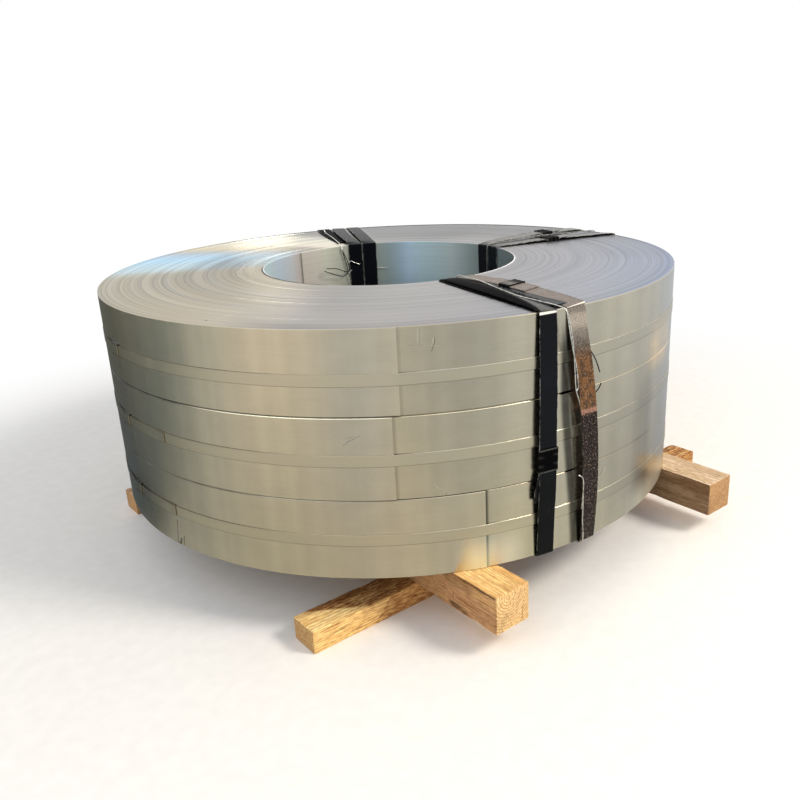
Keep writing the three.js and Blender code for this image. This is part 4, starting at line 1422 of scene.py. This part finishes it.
# Paths are points in millimetres, and the first path of each wire runs once round the wall of the stack.
# dark says which paths are darker, between which heights in metres, within which radius and how much.
wires = {
    "radius": 0.95 * mm,
    "color": [(0.3, "#a5a39b"), (0.7, "#ebe9e3")],
    "black": "#2c2a28",
    "frontTieWire": {"node": "tie_wire_front", "dark": {2: (0.0, 1.0), 3: (0.0, 1.0)}, "darkWithin": 1.0,
                     "darkness": 1.0, "paths": [
        [(-36.5, -247.5, 130), (-36.5, -247.5, 300), (-36.3, -247.4, 480), (-36.4, -249.5, 505),
         (-37.2, -258, 510.5), (-44, -285, 512), (-56.2, -331, 514.2), (-83, -405.5, 515),
         (-103.2, -477.2, 514.5), (-105, -520.6, 513.5), (-103, -555.6, 511.2), (-100, -566, 508),
         (-97, -569, 498), (-94, -570, 486.7), (-88, -571, 458.7), (-84.5, -570.5, 439.6),
         (-79.8, -569.5, 407.1), (-74.5, -568, 376.5), (-64, -567.5, 351.3), (-58, -567.5, 325.8),
         (-55.5, -567.6, 308.2), (-54, -568, 290.4), (-54.7, -568, 271.1), (-53, -568, 252.6),
         (-52.6, -568, 220.6), (-52, -568, 185.1), (-52.5, -567.8, 150.3), (-52, -567.6, 108),
         (-52, -558, 103.4), (-50, -480, 103.3), (-42, -330, 103.3), (-37, -262, 103.3),
         (-36.5, -249, 105.5), (-36.5, -247.5, 112)],
        [(-99, -566.5, 509), (-97, -569, 492.7), (-93.5, -571.5, 466.9), (-86.4, -571.5, 439.7),
         (-79.1, -571.5, 416.5), (-74.5, -570.5, 395.9), (-72, -569.5, 380), (-75, -569, 375)],
        [(-44.5, -566.5, 436), (-31, -567.3, 417.5), (-19.8, -567.9, 393.5)],
        [(-31.5, -569.1, 362), (-27.4, -573.3, 370.3), (-30.2, -579.2, 380.5)],
        [(-20.8, -569.6, 211.2), (-16.2, -573.8, 220), (-14.2, -579.8, 232)],
        [(-66, -569, 232), (-61, -571.5, 229), (-57.5, -572, 222), (-57, -569.5, 170)],
    ]},
    "backTieWire": {"node": "tie_wire_back", "dark": {0: (0.444, 0.497), 1: (0.0, 1.0), 2: (0.0, 1.0),
                                                      6: (0.0, 0.498)}, "darkWithin": 0.26, "darkness": 1.0,
                    "paths": [
        [(54, 243.5, 130), (56, 243.2, 300), (62.1, 243.2, 415.1), (57.7, 242.2, 437.3), (54.7, 242.2, 445),
         (55.9, 242.6, 454.1), (51.3, 244.7, 473.2), (47.4, 247.2, 496.8), (46.6, 249.5, 506.5),
         (52, 262, 508.4), (95, 358.8, 509.2), (147.9, 479.6, 508.2), (181, 532, 507.5), (184, 537, 503),
         (183, 537.5, 480), (181, 538.5, 300), (179.5, 539, 130), (179.5, 538.5, 106), (177, 531, 103.4),
         (110, 385, 103.4), (56, 252, 103.4), (54, 245, 106), (53.8, 243.6, 118)],
        [(57.5, 242.2, 448), (54.1, 240.5, 445.2), (40, 239.5, 450), (26.3, 238.5, 456.4), (-6, 236, 462)],
        [(56.5, 242.6, 441), (52.4, 240.4, 441.9), (43.1, 241.2, 437.1), (21.2, 239.5, 443),
         (-12, 236, 457)],
        [(57.8, 241.7, 442.1), (61.2, 240.9, 445.2), (65, 239.8, 448.3)],
        [(58, 243.3, 463), (60.5, 241, 467.5), (64.1, 239.1, 469.7), (73.1, 236.5, 464.5),
         (83, 233.2, 460.6)],
        [(125.3, 218.6, 446.7), (135.6, 212.7, 446.3), (145.3, 205.9, 445.3)],
        [(47.5, 248.5, 505), (45.6, 245.3, 498.2), (53.8, 243.6, 477.6), (58.9, 242.4, 461.8),
         (59.4, 242.3, 448.8), (57.8, 242.3, 443)],
    ]},
    "rightTieWire": {"node": "tie_wire_right", "dark": {0: (0.0, 1.0)}, "darkWithin": 1.0, "darkness": 0.6,
                     "paths": [
        [(247, -28, 130), (247, -28, 300), (246.6, -29.3, 456.7), (246.8, -30, 498), (249, -31, 508),
         (262, -31.5, 511), (330, -36, 513), (430, -48, 511), (520, -62, 508.5), (556, -66.5, 507),
         (564.5, -67, 505), (567.5, -66.6, 498), (568.5, -66, 300), (567.4, -67, 130), (566.6, -67, 107),
         (559, -67, 102.6), (400, -46, 102.6), (262, -28.5, 102.6), (249.5, -27.8, 105.4),
         (247.2, -27.9, 115)],
    ]},
}


# Soft annealed wire: a spotty, half dull metal, darker in places.
def makeWireSteel():
    material, shader = newMaterial("tieWireSteel", 1.0, 0.28)
    spots = addNode(material, "TexNoise", addNode(material, "TexCoord", output="Object"), None, 160, 3)
    color = addNode(material, "ValToRGB", spots, stops=wires["color"])
    tone = addNode(material, "Attribute", attribute_name="tone")
    plug(material, tinted(material, color, wires["black"], tone), shader.inputs["Base Color"])
    plug(material, addNode(material, "MapRange", spots, 0.3, 0.7, 0.22, 0.4), shader.inputs["Roughness"])
    plug(material, addNode(material, "Bump", {"Strength": 0.1, "Distance": 0.0003, "Height": spots}),
         shader.inputs["Normal"])
    return material


wireSteel = makeWireSteel()
for wireName in ("frontTieWire", "backTieWire", "rightTieWire"):
    settings = wires[wireName]
    bm = bmesh.new()
    layers = layersOf(bm)
    for number, path in enumerate(settings["paths"]):
        stations = smoothStations([Vector(point) * mm for point in path], 5 * mm)
        lowest, highest = settings["dark"].get(number, (1.0, 1.0))

        def darkAt(i, a, o):
            spot = stations[i][0]
            dark = lowest < spot.z < highest and spot.xy.length < settings["darkWithin"]
            return settings["darkness"] if dark else 0.0

        sweep(bm, stations, roundSection(wires["radius"], 8), layers, tone=darkAt)
    finishPiece(wireName, bm, [wireSteel], [settings["node"]], 60)
print("stage: tie wires done")


# centre is in plan. pith is where the rings' middle is in the section, from the timber's own middle, and
# pitch the width of a ring in mm. A crack is (x, from height, to height). Shadows lie near the left end.
# The side colour is that of the long side facing -x or -y, painted lighter or darker as light falls on it.
timbers = {
    "chip": 1.6 * mm,
    "waver": 0.7 * mm,
    "round": 2.2 * mm,
    "blot": "#38200f",
    "warmth": (1.0, 1.2, 1.45),     # how fast red, green and blue fall where the wood is darker
    # Blots are dark spots on one long side, as (place along, height, length, height of the spot, strength).
    "bearerLeft": {
        "node": "bearer_left", "along": "y", "centre": (-0.2345, 0.0), "length": 1.18, "width": 0.07,
        "height": 0.065, "foot": 0.0403, "pith": (-0.006, 0.026), "pitch": 4.8, "seed": 1,
        "pale": "#fbd290", "mid": "#e4b06a", "dark": "#84552a", "side": "#b88b5e", "end": "#efc68a",
        "crack": (-0.2147, 0.045, 0.076),
        "blots": [(-0.498, 0.048, 0.020, 0.008, 0.75), (-0.518, 0.0455, 0.014, 0.005, 0.8),
                  (-0.492, 0.064, 0.0022, 0.012, 0.6), (-0.50, 0.09, 0.03, 0.012, 0.4),
                  (-0.55, 0.1045, 0.05, 0.0035, 0.8)],
    },
    "bearerRight": {
        "node": "bearer_right", "along": "y", "centre": (0.32, 0.0), "length": 1.18, "width": 0.07,
        "height": 0.065, "foot": 0.0403, "pith": (-0.012, -0.018), "pitch": 3.4, "seed": 2,
        "pale": "#e2caae", "mid": "#ccb08e", "dark": "#7c5f44", "side": "#735637", "end": "#bb9060",
        "blots": [],
        "fine": (-0.095, 0.003, 38),    # closer stations where straps press in: the first, the step, how many
    },
    "runnerFront": {
        "node": "runner_front", "along": "x", "centre": (0.032, -0.365), "length": 1.005, "width": 0.06,
        "height": 0.04, "foot": 0.0, "pith": (0.02, -0.05), "pitch": 3.0, "seed": 3,
        "pale": "#ffdf9c", "mid": "#f2c47c", "dark": "#80501f", "side": "#f2c67e", "end": "#c49c66",
        "shadows": {"top": {"edge": -0.974, "slant": 1.55, "soft": 0.006, "shade": (-0.54, -0.36)},
                    "side": {"edge": -0.356, "slant": -0.9, "soft": 0.003, "shade": (-0.44, -0.30)}},
        "warmth": (1.0, 1.5, 1.8), "blots": [],
    },
    "runnerBack": {
        "node": "runner_back", "along": "x", "centre": (0.0, 0.303), "length": 1.005, "width": 0.06,
        "height": 0.04, "foot": 0.0, "pith": (-0.03, 0.03), "pitch": 3.2, "seed": 4,
        "pale": "#cfae8a", "mid": "#b48c68", "dark": "#7c5838", "side": "#a9824f", "end": "#c69a66",
        "blots": [],
    },
}


# Sawn pine: rings run round a pith line along the timber, so that its sides show grain and its ends arcs.
def makeTimberMaterial(name, settings):
    material, shader = newMaterial(f"{name}Pine", 0.0, 0.72, {"Specular IOR Level": 0.3})
    x, y, z = placeParts(material)
    normal = addNode(material, "TexCoord", output="Normal")
    nx, ny, nz = addNode(material, "SeparateXYZ", normal).node.outputs
    alongY = settings["along"] == "y"
    along, across = (y, x) if alongY else (x, y)
    endNormal, sideNormal = (ny, nx) if alongY else (nx, ny)
    centre, middle, seed = settings["centre"][0 if alongY else 1], settings["height"] / 2, settings["seed"]
    across = addNode(material, "SUBTRACT", across, centre + settings["pith"][0])
    level = addNode(material, "SUBTRACT", z, settings["foot"] + middle + settings["pith"][1])
    place = addNode(material, "CombineXYZ", along, across, level)
    fibre = noiseOn(material, place, (14, 520, 520), detail=3)
    broad = noiseOn(material, place, (5, 60, 60), (0, 0, seed), 3)
    streaks = noiseOn(material, place, (11, 210, 190), (0, 0, seed), 4, 0.6)
    rough = noiseOn(material, place, (60, 240, 240), (0, 0, seed), 4, 0.7)
    pores = noiseOn(material, place, (90, 900, 900))

    # Rings that wander along the timber, with a narrow dark part in each.
    drift = noiseOn(material, place, (3.2, 9, 9), (0, 0, seed * 3.1))
    bent = addNode(material, "ADD", across, addNode(material, "MULTIPLY_ADD", drift, 0.022, -0.011))
    fromPith = addNode(material, "CombineXYZ", bent, level)
    distance = addNode(material, "VectorMath", fromPith, operation="LENGTH")
    turns = addNode(material, "MULTIPLY", distance, 2 * math.pi * 1000 / settings["pitch"])
    late = addNode(material, "MapRange", addNode(material, "SINE", turns), 0.4, 0.98)

    sideMask = addNode(material, "MapRange", addNode(material, "MULTIPLY", sideNormal, -1.0), 0.5, 0.9)
    endMask = addNode(material, "MapRange", addNode(material, "ABSOLUTE", endNormal), 0.5, 0.9)
    color = tinted(material, linearColor(settings["mid"]), settings["pale"],
                   addNode(material, "MapRange", broad, 0.3, 0.7))
    # Painted light and shade: the long side facing -x or -y takes the side colour.
    color = tinted(material, color, settings["side"], sideMask,
                   addNode(material, "MapRange", broad, 0.2, 0.6, 0.6, 1.0))
    for spot, height, long, tall, strength in settings["blots"]:
        reach = addNode(material, "VectorMath", addNode(material, "CombineXYZ", along, z),
                        (1 / long, 1 / tall, 0), (-spot / long, -height / tall, 0), operation="MULTIPLY_ADD",
                        output=0)
        reach = addNode(material, "MULTIPLY_ADD", addNode(material, "SUBTRACT", broad, 0.5), 3.0,
                        addNode(material, "VectorMath", reach, operation="LENGTH"))
        color = tinted(material, color, timbers["blot"], sideMask,
                       addNode(material, "MapRange", reach, 0.5, 1.1, strength, 0.0))
    color = tinted(material, color, settings["end"], endMask)
    darks = [(late, addNode(material, "MapRange", endMask, 0.0, 1.0, 0.34, 0.5)),
             (addNode(material, "MapRange", fibre, 0.54, 0.70, 0.0, 0.5),)]
    if "crack" in settings:
        spot, low, high = settings["crack"]
        gap = addNode(material, "ABSOLUTE", addNode(material, "SUBTRACT", x, spot))
        darks.append((endMask, addNode(material, "MapRange", gap, 0.0006, 0.0014, 0.7, 0.0),
                      between(material, z, low, low + 0.004, high - 0.012, high)))
    darks.append((addNode(material, "MapRange", streaks, 0.55, 0.66),
                  addNode(material, "MapRange", sideMask, 0.0, 1.0, 0.2, 0.7)))
    for shares in darks:
        color = tinted(material, color, settings["dark"], *shares)

    shade = addNode(material, "ADD", addNode(material, "MapRange", rough, 0.3, 0.7, 0.76, 1.2),
                    addNode(material, "MapRange", pores, 0.3, 0.7, -0.12, 0.12))
    shade = addNode(material, "ADD", shade, addNode(material, "Attribute", attribute_name="tone"))
    for face, shadow in settings.get("shadows", {}).items():
        facing, down = (nz, y) if face == "top" else (addNode(material, "MULTIPLY", ny, -1.0), z)
        spot = addNode(material, "MULTIPLY_ADD", down, shadow["slant"], x)
        shaded = addNode(material, "MapRange", spot, shadow["edge"] - shadow["soft"],
                         shadow["edge"] + shadow["soft"])
        shaded = addNode(material, "MULTIPLY", shaded, addNode(material, "MapRange", facing, 0.5, 0.9))
        shade = addNode(material, "MULTIPLY_ADD", shaded,
                        addNode(material, "MapRange", rough, 0.35, 0.65, *shadow["shade"]), shade)
    warm = [addNode(material, "POWER", shade, power) for power in settings.get("warmth", timbers["warmth"])]
    plug(material, shadedBy(material, color, *warm), shader.inputs["Base Color"])
    plug(material, addNode(material, "MapRange", fibre, 0.3, 0.7, 0.62, 0.85), shader.inputs["Roughness"])
    height = addNode(material, "MULTIPLY_ADD", late, 0.5, fibre)
    plug(material, addNode(material, "Bump", {"Strength": 0.45, "Distance": 0.0007, "Height": height}),
         shader.inputs["Normal"])
    return material


# A rectangle with rounded corners, its sides in seven parts.
def timberSection(width, height, corner):
    w = width / 2
    arcs = []
    for cx, cz, start in ((w - corner, corner, -90), (w - corner, height - corner, 0),
                          (-w + corner, height - corner, 90), (-w + corner, corner, 180)):
        angles = [math.radians(start + 30 * i) for i in range(4)]
        arcs.append([(cx + corner * math.cos(angle), cz + corner * math.sin(angle)) for angle in angles])
    points = []
    for arc, following in zip(arcs, arcs[1:] + arcs[:1]):
        (a0, h0), (a1, h1) = arc[-1], following[0]
        points += arc + [(mix(a0, a1, i / 7), mix(h0, h1, i / 7)) for i in range(1, 7)]
    return points


# Dents in the right bearer's top, under two straps and a tie wire: both ends of the line they follow, how far
# beside it the flat and then the slope end, and the depth.
dents = [(polar(stack["boreRadius"], straps[name]["bore"][0]),
          polar(stack["outerRadius"], straps[name]["rim"][0]), 16.5 * mm, 20 * mm, 1.8 * mm)
         for name in ("rightRear", "rightFront")]
dents.append((Vector((0.249, -0.028, 0)), Vector((0.566, -0.067, 0)), 1.5 * mm, 5 * mm, 4.2 * mm))


def dentAt(x, y):
    deepest = 0.0
    for start, end, flat, slope, depth in dents:
        run = end - start
        gap = abs((x - start.x) * run.y - (y - start.y) * run.x) / run.length
        deepest = max(deepest, depth * (1 - smooth(flat, slope, gap)))
    return deepest


# A sawn block with wavering faces, chipped corners, and dents where the straps press in.
def makeTimber(name):
    settings = timbers[name]
    bm = bmesh.new()
    layers = layersOf(bm)
    half, side = settings["length"] / 2, settings["width"] / 2
    height, foot = settings["height"], settings["foot"]
    stops = [mix(-half + 0.004, half - 0.004, i / 110) for i in range(111)]
    stops += [-half, -half + 0.0015, half - 0.0015, half]
    if "fine" in settings:
        start, step, count = settings["fine"]
        stops += [start + step * i for i in range(count)]
    stops = sorted(stops)
    stops = [a for a, b in zip(stops, stops[1:] + [9]) if b - a > 0.0008]
    section = timberSection(settings["width"], height, timbers["round"])
    alongY = settings["along"] == "y"
    cx, cy = settings["centre"]
    seed = settings["seed"] * 13.7
    rows = []
    for stop in stops:
        tuck = 0.0012 * (1 - smooth(0, 0.0015, half - abs(stop)))
        centre = (cx, cy + stop) if alongY else (cx + stop, cy)
        underCoil = math.hypot(*centre) < stack["outerRadius"]
        row = []
        for a, h in section:
            corner = abs(a) > side - 3 * mm and (h < 3 * mm or h > height - 3 * mm)
            wave = noise.noise(Vector((stop * 7, a * 12, h * 12 + seed)))
            chip = noise.noise(Vector((stop * 42, seed, a * 30 + h * 30))) - 0.18 if corner else 0.0
            pull = timbers["waver"] * (0.5 + 0.5 * wave) + timbers["chip"] * clamp(chip * 2.2) + tuck
            a2 = a - math.copysign(min(pull, abs(a)), a) * (abs(a) > side * 0.93)
            h2 = h - pull if h > height * 0.9 else h
            if foot and h < height * 0.1:
                h2 = h + pull * 0.5
            if foot and underCoil and h > height * 0.9 and not corner:
                h2 = h
            x, y = (cx + a2, cy + stop) if alongY else (cx + stop, cy - a2)
            if "fine" in settings and h > height * 0.9:
                h2 = min(h2, height - dentAt(x, y))
            vertex = bm.verts.new(Vector((x, y, foot + h2)))
            vertex[layers[1]] = 0.10 * noise.noise(Vector((stop * 5, a * 20, h * 20 + seed)))
            row.append((vertex, stop, a))
        rows.append(row)
    skin(bm, rows, layers[0], closeRows=True)
    capEnds(bm, rows, layers[0])
    finishPiece(name, bm, [makeTimberMaterial(name, settings)], [settings["node"]], 50)


for timberName in ("bearerLeft", "bearerRight", "runnerFront", "runnerBack"):
    makeTimber(timberName)
print("stage: timbers done")
